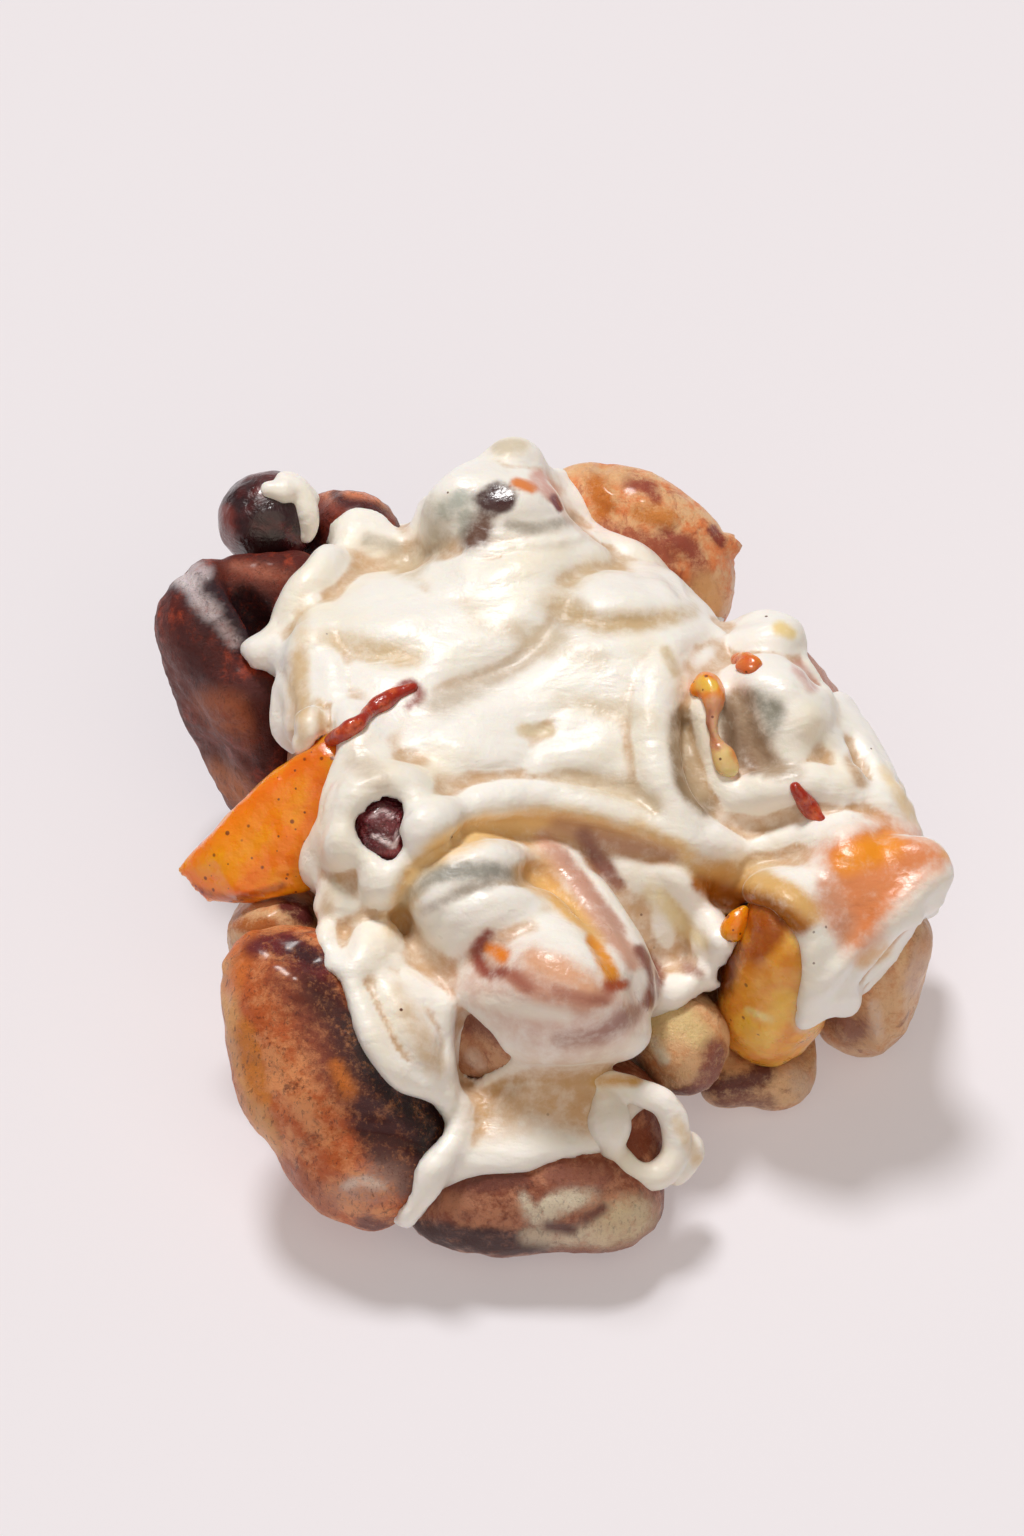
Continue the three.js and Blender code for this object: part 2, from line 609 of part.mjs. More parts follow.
function build() {
  const group = new THREE.Group();
  group.name = "cinnamon_roll_bite";
  const made = [];
  const add = (name, look, solid) => {
    const mesh = new THREE.Mesh(geometryOf(largest(solid)), looks[look]);
    mesh.name = name;
    group.add(mesh);
  };
  // Trims a solid only where it still touches a piece made before it.
  const clear = (solid) =>
    made.reduce((rest, one) => {
      const touches = rest.intersect(one).volume() > 0;
      return touches ? rest.subtract(one) : rest;
    }, solid);
  const place = ({ name, look, centre, detail }, field) => {
    add(name, look, clear(solidOf(wrap(field, centre, detail))));
    made.push(solidOf(wrap(field, centre, detail, GAP / 2)));
  };
  for (const one of fruit) place(one, one.field);
  for (const one of chunks) place(one, squeezed(one));
  const { mound, skin } = icingField();
  for (const one of toppings()) place(one, one.field);
  const heart = [0, 2, 10];
  const outer = solidOf(wrap(skin, heart, 13, 0, [0, -0.22, 0.5], 3));
  const bed = solidOf(wrap(mound, heart, 7, BED, [0, -0.2, 0.3], 1));
  add("icing", "icing", clear(outer.subtract(bed)).trimByPlane([0, 0, 1], LOWEST_ICING));
  const box = new THREE.Box3().setFromObject(group);
  const middle = box.getCenter(new THREE.Vector3());
  for (const mesh of group.children) mesh.geometry.translate(-middle.x, -middle.y, 0);
  return group;
}

addBerries();
addPeaches();
addDough();
const bite = build();

export default bite;
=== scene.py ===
# Cinnamon roll bite, dressed. Each chunk of dough, berry and peach slice is baked anew from
# its own solid with a fine skin, and the icing is poured over all of them as the cook would
# have done it: thick on the crown, thin over the fruit, pulled into folds down the front.
# Outlines and lines are drawn as the eater sees them, in pixels of a 1024 by 1536 view.
import math

import bpy
import numpy as np
from mathutils import Matrix, Vector, noise
from mathutils.bvhtree import BVHTree


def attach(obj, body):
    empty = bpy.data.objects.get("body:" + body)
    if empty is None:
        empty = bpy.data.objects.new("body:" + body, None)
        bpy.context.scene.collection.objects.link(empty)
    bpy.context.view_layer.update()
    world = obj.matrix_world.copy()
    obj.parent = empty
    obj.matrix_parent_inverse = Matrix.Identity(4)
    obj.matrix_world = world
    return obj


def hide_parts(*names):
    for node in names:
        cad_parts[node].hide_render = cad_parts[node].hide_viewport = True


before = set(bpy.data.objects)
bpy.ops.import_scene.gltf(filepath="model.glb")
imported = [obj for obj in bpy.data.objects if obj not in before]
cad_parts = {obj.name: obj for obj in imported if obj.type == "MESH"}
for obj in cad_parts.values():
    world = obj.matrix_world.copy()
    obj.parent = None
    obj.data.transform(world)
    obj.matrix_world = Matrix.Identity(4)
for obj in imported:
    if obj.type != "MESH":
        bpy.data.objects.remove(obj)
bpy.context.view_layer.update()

MM = 0.001
BODY = "root"

# The eater's view, with the eye's place in millimetres.
EYE = np.array([-4.69, -316.21, 413.47])
EYE_TILT = math.radians(50)
EYE_REACH = 500
VIEW_SCALE = 7.68
VIEW_MIDDLE = (512, 768)
SENSOR = 36
LENS = 90
AHEAD = np.array([0, math.cos(EYE_TILT), -math.sin(EYE_TILT)])
ABOVE = np.array([0, math.sin(EYE_TILT), math.cos(EYE_TILT)])

# Icing, in millimetres.
COAT = 1.9  # thickness all over
CROWN_COAT = 2.2  # added on the crown
THIN_COAT = 0.9  # at its thinnest
BEAD = 2.4  # width of its rounded edge
SUNK = 1.7  # how deep it dives past its edge
EDGE_SLOPE = 1.6  # how steeply it dives
EDGE_FALL = 3.5  # how far in from its edge it comes down to what it lies on
SKIN = 1.1  # thickness of its sheet, inwards
BRIDGE = 4  # how far it bridges a crease
HEM = 24  # height of its edge on the hidden side
HEM_RISE = 10  # added at the back left
LOWEST = 7  # no icing hangs lower
HEART = np.array([0, 0, 8])  # the hidden side is judged from here
FAR = 90  # further from an edge than any icing is
CLEAR = 1  # how far outside the skin a look down at the mound starts
SWEEP = math.radians(30)  # the way that the spatula went

# Fineness of the skins, in millimetres.
ICING_GRAIN = 0.62
BRIDGE_GRAIN = 0.9
DOUGH_GRAIN = 0.7
FRUIT_GRAIN = 0.4
STRAND_GRAIN = 0.3
PEEL_GRAIN = 0.22

DOUGH_FULLER = 0.35  # how much a chunk is fuller than its solid, in millimetres
# The same cover holds for painted shade and painted highlights.
PAINT_COVER = 1.25  # how much more than its share a stain covers at its middle
ROUND_END = ((0.55, 0.84), (0.9, 0.45))  # how far out and how wide, in shares of the radius
NOTHING = 1e-9  # the least length that is divided by


def seen(points):
    """Where points given in metres are seen, in pixels across and down."""
    offset = points / MM - EYE
    scale = VIEW_SCALE * EYE_REACH / (offset @ AHEAD)
    return VIEW_MIDDLE[0] + offset[:, 0] * scale, VIEW_MIDDLE[1] - (offset @ ABOVE) * scale


def ramp(values, low, high):
    """0 below low, 1 above high, smooth between."""
    share = np.clip((values - low) / (high - low), 0, 1)
    return share * share * (3 - 2 * share)


def rounded(points, closed, steps=4):
    """A smooth line through given points, whatever numbers each point holds."""
    line = np.array(points, float)
    count = len(line)
    if count < 3:
        return line
    at = np.arange(count if closed else count - 1)
    near = [at + shift for shift in (-1, 0, 1, 2)]
    a, b, c, d = (line[i % count if closed else np.clip(i, 0, count - 1)] for i in near)
    rows = []
    for step in range(steps):
        t = step / steps
        square = (2 * a - 5 * b + 4 * c - d) * t**2
        cube = (3 * b - a - 3 * c + d) * t**3
        rows.append(0.5 * (2 * b + (c - a) * t + square + cube))
    smooth = np.stack(rows, 1).reshape(-1, line.shape[1])
    return smooth if closed else np.vstack([smooth, line[-1:]])


def beside(u, v, au, av, bu, bv):
    """For spots in the view, the share of the way from a to b where each lies, and how far off."""
    eu, ev = bu - au, bv - av
    t = np.clip(((u - au) * eu + (v - av) * ev) / max(eu * eu + ev * ev, NOTHING), 0, 1)
    return t, np.hypot(u - au - eu * t, v - av - ev * t)


def inside(outline, points):
    """How far inside an outline each point is seen, in millimetres, negative outside it."""
    u, v = seen(points)
    corners = rounded(outline, closed=True)
    nearest = np.full(len(u), np.inf)
    crossed = np.zeros(len(u), bool)
    for (au, av), (bu, bv) in zip(corners, np.roll(corners, -1, 0)):
        nearest = np.minimum(nearest, beside(u, v, au, av, bu, bv)[1])
        if abs(bv - av) > NOTHING:
            crossed ^= ((av > v) != (bv > v)) & (u < (bu - au) * (v - av) / (bv - av) + au)
    return np.where(crossed, nearest, -nearest) / VIEW_SCALE


def along(line, points):
    """Height of a stroke at each point: the line's own points are [u, v, height, half width]."""
    u, v = seen(points)
    nodes = rounded(line, closed=False)
    least = np.full(len(u), np.inf)
    height = np.zeros(len(u))
    for (au, av, ah, aw), (bu, bv, bh, bw) in zip(nodes[:-1], nodes[1:]):
        t, off = beside(u, v, au, av, bu, bv)
        off = off / VIEW_SCALE / (aw + (bw - aw) * t)
        closer = off < least
        least = np.where(closer, off, least)
        height = np.where(closer, ah + (bh - ah) * t, height)
    return np.where(least < 1, height * (1 - np.minimum(least, 1) ** 2) ** 2, 0)


def turned_to_eater(points, normals, low=-0.1, high=0.2):
    """1 where a surface faces the eater, 0 where it faces away."""
    towards = EYE * MM - points
    towards /= np.linalg.norm(towards, axis=1)[:, None]
    return ramp(np.sum(normals * towards, axis=1), low, high)


def wander(points, size, seed=0.0, stretch=(1, 1, 1)):
    """Noise from about -1 to 1 with lumps of a size in millimetres."""
    spots = points / MM / size * np.array(stretch) + seed
    return np.array([noise.noise(Vector(spot)) for spot in spots])


# Meshes.
def placed(name, data):
    """A new object for a mesh, curve, light or camera, in the scene."""
    made = bpy.data.objects.new(name, data)
    bpy.context.scene.collection.objects.link(made)
    return made


def only(piece):
    """Selects one piece and nothing else."""
    for one in bpy.context.selected_objects:
        one.select_set(False)
    bpy.context.view_layer.objects.active = piece
    piece.select_set(True)


def finish_with(piece, kind, **settings):
    """Adds a modifier to a piece and applies it."""
    only(piece)
    modifier = piece.modifiers.new(kind.title(), kind)
    for key, value in settings.items():
        setattr(modifier, key, value)
    bpy.ops.object.modifier_apply(modifier=modifier.name)


def in_edit(piece, step, chosen=None):
    """Runs an edit mode operator on all points of a piece, or on the chosen ones."""
    only(piece)
    bpy.ops.object.mode_set(mode="EDIT")
    bpy.ops.mesh.select_mode(type="VERT")
    bpy.ops.mesh.select_all(action="SELECT" if chosen is None else "DESELECT")
    if chosen is not None:
        bpy.ops.object.mode_set(mode="OBJECT")
        piece.data.vertices.foreach_set("select", chosen)
        bpy.ops.object.mode_set(mode="EDIT")
    step()
    bpy.ops.object.mode_set(mode="OBJECT")


def surface(piece):
    """A piece's points and normals."""
    count = len(piece.data.vertices)
    points = np.empty(count * 3)
    normals = np.empty(count * 3)
    piece.data.vertices.foreach_get("co", points)
    piece.data.vertex_normals.foreach_get("vector", normals)
    return points.reshape(-1, 3), normals.reshape(-1, 3)


def swell(piece, heights):
    """Pushes a piece's points out along their normals by one height or by a height for each."""
    points, normals = surface(piece)
    heights = np.broadcast_to(heights, len(points)) * MM
    piece.data.vertices.foreach_set("co", (points + normals * heights[:, None]).ravel())
    piece.data.update()


def grain(piece, size):
    """Gives a piece an even skin of small faces."""
    finish_with(piece, "REMESH", mode="VOXEL", voxel_size=size * MM)


def smooth(piece, rounds):
    """Evens out a piece's skin."""
    finish_with(piece, "SMOOTH", factor=0.5, iterations=rounds)


def crumple(piece, height, size, seed, blistered=False):
    """Lumps of a height and size in millimetres over a whole piece."""
    lumps = wander(surface(piece)[0], size, seed)
    if blistered:
        lumps = 1 - 2 * np.abs(lumps)
    swell(piece, lumps * height)


def cast_from(node, name, fineness, rounds, fuller, faceted=False):
    """A copy of a solid with an even, smoothed skin, fuller by so many millimetres."""
    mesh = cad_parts[node].data.copy()
    mesh.name = name
    mesh.materials.clear()
    piece = placed(name, mesh)
    in_edit(piece, lambda: bpy.ops.mesh.remove_doubles(threshold=1e-6))
    if not faceted:
        finish_with(piece, "SUBSURF", levels=1)
    grain(piece, fineness)
    smooth(piece, rounds)
    swell(piece, fuller)
    return piece


def keep_attribute(piece, name, values):
    """Stores a number or a colour for each point of a piece."""
    kind = "FLOAT" if values.ndim == 1 else "FLOAT_COLOR"
    layer = piece.data.attributes.new(name, kind, "POINT")
    if kind == "FLOAT":
        layer.data.foreach_set("value", values.astype(np.float32))
    else:
        rows = np.ones((len(values), 4), np.float32)
        rows[:, :3] = values
        layer.data.foreach_set("color", rows.ravel())


def linear(colour):
    """A colour given as it looks on a screen, 0 to 255, as light."""
    shares = np.array(colour, float) / 255
    return np.where(shares <= 0.04045, shares / 12.92, ((shares + 0.055) / 1.055) ** 2.4)


def evened(piece, values, rounds):
    """Values at a piece's points, each drawn towards the middle of its neighbours' values."""
    edges = np.empty(len(piece.data.edges) * 2, int)
    piece.data.edges.foreach_get("vertices", edges)
    a, b = edges.reshape(-1, 2).T
    count = np.bincount(a, minlength=len(values)) + np.bincount(b, minlength=len(values))
    for _ in range(rounds):
        total = np.bincount(a, values[b], len(values)) + np.bincount(b, values[a], len(values))
        values = 0.5 * values + 0.5 * total / np.maximum(count, 1)
    return values


def hollows(piece, rounds, deep):
    """1 in the hollows of a piece, 0 on its ridges: where painted shade goes."""
    points, normals = surface(piece)
    even = np.stack([evened(piece, axis, rounds) for axis in points.T], 1)
    return ramp(np.sum((even - points) * normals, axis=1) / MM, 0, deep)


def painted(piece, stains_and_light=(), hollow=None):
    """Lays colours on a piece where the eater sees them: stains, painted shade and painted
    highlights, and painted shade in its hollows all over. Each is (colour, line), with the share
    of the colour in the place of the height, or (colour, share, softness, outline)."""
    points, normals = surface(piece)
    facing = turned_to_eater(points, normals, -0.05, 0.25)
    colour = np.zeros((len(points), 3))
    share = np.zeros(len(points))
    if hollow:
        paint, strength, rounds, deep = hollow
        colour += linear(paint)
        share = hollows(piece, rounds, deep) * strength
    for paint, *where in stains_and_light:
        if len(where) == 1:
            cover = np.abs(along(where[0], points))
        else:
            strength, softness, outline = where
            cover = ramp(inside(outline, points), -softness, softness) * strength
        cover = np.clip(cover * PAINT_COVER, 0, 1) * facing
        total = cover + share * (1 - cover)
        mix = np.where(total > 0, cover / np.maximum(total, 1e-6), 0)[:, None]
        colour = colour * (1 - mix) + linear(paint) * mix
        share = total
    keep_attribute(piece, "stain_and_painted_light", colour)
    keep_attribute(piece, "stain_and_painted_light_share", share)


def spread(piece, name, lines, base=0.0):
    """Keeps how much of something lies on a piece: a little all over, more along lines."""
    points, _ = surface(piece)
    amount = np.full(len(points), float(base))
    for line in lines:
        amount = np.maximum(amount, along(line, points))
    keep_attribute(piece, name, amount)


# Materials.
class Wire:
    """A shader value that adds, subtracts and multiplies as a number does."""

    def __init__(self, finish, socket):
        self.finish = finish
        self.socket = socket

    def maths(self, operation, other):
        return self.finish.node("ShaderNodeMath", {"operation": operation}, {0: self, 1: other})

    def __add__(self, other):
        return self.maths("ADD", other)

    def __sub__(self, other):
        return self.maths("SUBTRACT", other)

    def __mul__(self, other):
        return self.maths("MULTIPLY", other)

    def above(self, low, high):
        """0 at low, 1 at high, smooth between, whichever of the two is larger."""
        return self.finish.node(
            "ShaderNodeMapRange",
            {"interpolation_type": "SMOOTHSTEP"},
            {"Value": self, "From Min": low, "From Max": high},
        )


class Finish:
    """A material that is built node by node."""

    def __init__(self, name):
        self.material = bpy.data.materials.new(name)
        self.material.use_nodes = True
        self.tree = self.material.node_tree
        self.tree.nodes.clear()
        self.place = self.node("ShaderNodeTexCoord", output="Object")

    def feed(self, socket, value):
        """Links a socket to a shader value, or sets it to a constant."""
        if isinstance(value, Wire):
            self.tree.links.new(value.socket, socket)
        else:
            socket.default_value = value

    def node(self, kind, settings=None, values=None, output=0):
        """A new node with its settings and inputs, given as one of its outputs."""
        made = self.tree.nodes.new(kind)
        for key, value in (settings or {}).items():
            setattr(made, key, value)
        for key, value in (values or {}).items():
            self.feed(made.inputs[key], value)
        return Wire(self, made.outputs[output])

    def stretched(self, scale, turn):
        """Object coordinates drawn out by a scale and turned by degrees."""
        turned = tuple(math.radians(angle) for angle in turn)
        values = {"Vector": self.place, "Rotation": turned, "Scale": scale}
        return self.node("ShaderNodeMapping", values=values)

    def noise(self, size, detail=3, rough=0.5, place=None, bend=0):
        """Noise with lumps of a size in millimetres."""
        values = {"Vector": place or self.place, "Scale": 1 / (size * MM), "Detail": detail}
        values |= {"Roughness": rough, "Distortion": bend}
        return self.node("ShaderNodeTexNoise", values=values)

    def cells(self, size, output):
        """Cells of a size in millimetres."""
        values = {"Vector": self.place, "Scale": 1 / (size * MM)}
        return self.node("ShaderNodeTexVoronoi", values=values, output=output)

    def mix(self, base, top, share):
        """Lays one colour over another."""
        made = self.tree.nodes.new("ShaderNodeMix")
        made.data_type = "RGBA"
        sockets = {one.identifier: one for one in made.inputs}
        for name, value in (("Factor_Float", share), ("A_Color", base), ("B_Color", top)):
            self.feed(sockets[name], (*linear(value), 1) if isinstance(value, tuple) else value)
        return Wire(self, next(one for one in made.outputs if one.identifier == "Result_Color"))

    def kept(self, name, output="Fac"):
        """What a piece's points hold under a name."""
        return self.node("ShaderNodeAttribute", {"attribute_name": name}, output=output)

    def painted_over(self, colour, broken, low, high):
        """Lays a piece's painted stains, painted shade and painted highlights over a colour, broken up by a
        shader value.
        """
        share = self.kept("stain_and_painted_light_share") * broken
        return self.mix(colour, self.kept("stain_and_painted_light", "Color"), share.above(low, high))

    def specks(self, size, radius, share):
        """1 on small grains, which are in a share of the cells."""
        distance = self.cells(size, "Distance")
        chance = self.node("ShaderNodeSeparateColor", values={"Color": self.cells(size, "Color")})
        return distance.above(radius, radius * 0.6) * chance.above(1 - share, 1.001 - share)

    def bump(self, *layers):
        """Bumps laid over each other, each (value, depth in millimetres)."""
        normal = None
        for value, depth in layers:
            values = {"Height": value, "Distance": depth * MM, "Strength": 1.0}
            if normal is not None:
                values["Normal"] = normal
            normal = self.node("ShaderNodeBump", values=values)
        return normal

    def shade(self, colour, roughness, normal, soft, glow, depth, coat, coat_rough, specular=0.5):
        """The material itself. Soft is the share of light that goes in, glow how far red, green
        and blue reach there in shares of a depth in millimetres."""
        values = {"Base Color": colour, "Roughness": roughness, "Normal": normal}
        values |= {"Subsurface Weight": soft, "Subsurface Radius": glow, "Subsurface Scale": depth * MM}
        values |= {"Coat Weight": coat, "Coat Roughness": coat_rough, "Specular IOR Level": specular}
        shader = self.node("ShaderNodeBsdfPrincipled", values=values)
        made = self.tree.nodes.new("ShaderNodeOutputMaterial")
        self.tree.links.new(shader.socket, made.inputs["Surface"])
        return self.material


IVORY = (252, 248, 242)
BUTTER = (248, 238, 219)
CINNAMON = (96, 50, 26)
BERRY_BLOOM = (118, 104, 116)


def icing_finish():
    """Cream cheese icing: ivory, moist, whipped, with a few grains of cinnamon."""
    f = Finish("cream_cheese_icing")
    colour = f.mix(IVORY, BUTTER, f.noise(16, 3).above(0.46, 0.78))
    clouded = f.noise(2.6, 5, 0.66)
    colour = f.painted_over(colour, clouded.above(0.25, 0.72) * 0.5 + 0.66, 0.06, 0.98)
    grains = f.specks(2.6, 0.1, 0.03) + f.specks(1.5, 0.15, 0.2) * f.kept("spice")
    colour = f.mix(colour, CINNAMON, grains)
    swept = f.noise(4.5, 3, 0.5, f.stretched((0.6, 1.3, 1), (0, 0, -30)), bend=0.5)
    roughness = f.noise(4, 2).above(0.3, 0.7) * 0.14 + 0.35 - f.kept("wet") * 0.14
    normal = f.bump((swept, 0.42), (f.noise(1.2, 3, 0.6), 0.12))
    return f.shade(colour, roughness, normal, 0.25, (1.0, 0.6, 0.35), 1.2, coat=0.07, coat_rough=0.2)


def dough_finish(name, pale, golden, dark, browned, streaks, rough=0.5, coat=0.3):
    """Baked dough, mottled from pale to golden, with dark flecks of filling."""
    f = Finish(name)
    broad = f.noise(8, 4, 0.6)
    mottle = f.noise(2.4, 6, 0.74)
    fine = f.noise(0.7, 5, 0.78)
    crumb = mottle * 0.6 + fine * 0.4
    level = 0.6 - browned * 0.22
    colour = f.mix(pale, golden, (broad * 0.4 + mottle * 0.6).above(level - 0.06, level + 0.1))
    patchy = f.noise(4.5, 6, 0.74, bend=0.8)
    colour = f.mix(colour, dark, patchy.above(0.53, 0.68) * 0.75)
    colour = f.painted_over(colour, crumb.above(0.36, 0.64) * 0.7 + 0.55, 0.05, 0.95)
    grained = f.noise(0.9, 4, 0.75, f.stretched((1.5, 1.5, 0.4), (18, 0, 0)))
    light = f.noise(1.0, 4, 0.75, f.stretched((1.4, 1.4, 0.5), (18, 0, 0)))
    flecked = f.kept("fleck") * streaks
    colour = f.mix(colour, dark, grained.above(0.54, 0.66) * flecked)
    colour = f.mix(colour, dark, fine.above(0.56, 0.66) * flecked * 0.5)
    colour = f.mix(colour, pale, light.above(0.58, 0.7) * flecked * 0.55)
    normal = f.bump((mottle, 0.55), (fine, 0.22), (grained, 0.2))
    roughness = f.noise(2.4, 4).above(0.35, 0.65) * 0.22 + (rough - 0.06) - f.kept("wet") * 0.24
    return f.shade(colour, roughness, normal, 0.15, (1.0, 0.4, 0.2), 1.5, coat, 0.2, specular=0.35)


def peach_finish(name, ripe, glow, brown, specks):
    """Cooked peach: bright and wet, with brown specks."""
    f = Finish(name)
    colour = f.mix(ripe, glow, f.noise(6, 3, 0.55).above(0.42, 0.68))
    fibres = f.noise(1.6, 4, 0.6, f.stretched((0.5, 1.4, 1.2), (0, 0, 38)))
    colour = f.mix(colour, ripe, fibres.above(0.45, 0.75) * 0.4)
    colour = f.painted_over(colour, f.noise(2.2, 4, 0.6).above(0.2, 0.75) * 0.5 + 0.65, 0.02, 1.0)
    speckled = f.specks(1.9, 0.2, specks) * 0.8 + f.specks(1.1, 0.2, specks * 0.5) * 0.85
    colour = f.mix(colour, brown, speckled)
    roughness = f.noise(2.5, 3).above(0.3, 0.7) * 0.16 + 0.24
    normal = f.bump((f.noise(2.2, 3, 0.5), 0.35), (fibres, 0.14), (f.noise(0.6, 2), 0.05))
    return f.shade(colour, roughness, normal, 0.75, (1.0, 0.4, 0.05), 5.0, coat=0.45, coat_rough=0.12)


def berry_finish(name, skin, blush, wrinkles=0.25):
    """Baked blueberry: dark skin with a red blush and a pale bloom in patches."""
    f = Finish(name)
    colour = f.mix(skin, blush, f.noise(4.5, 3, 0.6).above(0.45, 0.75))
    colour = f.mix(colour, BERRY_BLOOM, f.noise(1.4, 4, 0.7).above(0.66, 0.82) * 0.5)
    colour = f.painted_over(colour, f.noise(1.6, 4, 0.6).above(0.2, 0.7) * 0.5 + 0.65, 0.02, 1.0)
    roughness = f.noise(1.8, 3).above(0.3, 0.7) * 0.2 + 0.22
    normal = f.bump((f.noise(2.6, 4, 0.6, bend=0.8), wrinkles * 2), (f.noise(0.7, 3), wrinkles * 0.4))
    return f.shade(colour, roughness, normal, 0.12, (1.0, 0.3, 0.3), 1.5, coat=0.5, coat_rough=0.14)


def peel_finish():
    """Red peach peel, darker in patches."""
    f = Finish("peach_peel")
    colour = f.mix((168, 42, 24), (214, 92, 44), f.noise(1.8, 3).above(0.45, 0.7))
    colour = f.mix(colour, (96, 20, 16), f.noise(0.9, 3).above(0.58, 0.75) * 0.6)
    roughness = f.noise(1.2, 2) * 0.2 + 0.2
    normal = f.bump((f.noise(0.9, 3), 0.25))
    return f.shade(colour, roughness, normal, 0.3, (1.0, 0.25, 0.1), 1.5, coat=0.5, coat_rough=0.1)


# Lines and outlines in the eater's view: [across, down, height or share, half width in mm].
icing_edge = [
    [404, 516], [360, 508], [342, 512], [327, 523], [322, 541], [306, 569], [291, 583],
    [276, 613], [264, 631], [244, 643], [240, 650], [246, 661], [259, 671], [271, 674], [287, 700],
    [286, 727], [292, 745], [300, 757], [332, 735], [340, 742], [338, 754], [332, 776],
    [326, 798], [319, 823], [304, 845], [300, 861], [302, 886], [312, 899], [316, 913],
    [315, 943], [325, 960], [322, 969], [341, 985], [359, 1038], [379, 1070], [400, 1091],
    [426, 1099], [441, 1123], [438, 1140], [417, 1164], [411, 1190], [397, 1211], [386, 1229],
    [410, 1233], [420, 1220], [436, 1196], [458, 1184], [482, 1175], [529, 1172], [549, 1163],
    [598, 1154], [618, 1146], [630, 1120], [648, 1104], [644, 1085], [632, 1070], [629, 1053],
    [652, 1023], [708, 997], [720, 989], [724, 970],
    [738, 945], [729, 916], [707, 896], [716, 894], [752, 905], [774, 910], [790, 926],
    [800, 950], [800, 982], [795, 1008], [797, 1030], [812, 1020], [832, 1006], [857, 999],
    [882, 978], [904, 949], [921, 921], [943, 914], [962, 900], [990, 870], [980, 820],
    [940, 780], [910, 740], [870, 700], [845, 690], [816, 695], [802, 668], [806, 640],
    [815, 620], [800, 596], [774, 604], [738, 618], [716, 613], [704, 614], [687, 601],
    [677, 578], [642, 544], [601, 527], [579, 488], [566, 470], [556, 452], [550, 420],
    [480, 415], [430, 430], [390, 480],
]

bare_spots = {
    "hollow_of_the_burst_berry": [
        [358, 824], [368, 810], [384, 803], [398, 806], [403, 820], [401, 834], [406, 846],
        [391, 860], [378, 853], [361, 840],
    ],
    "beside_the_curtain": [
        [462, 1018], [476, 1020], [492, 1028], [505, 1044], [512, 1057], [494, 1067], [474, 1077],
        [462, 1082],
    ],
}

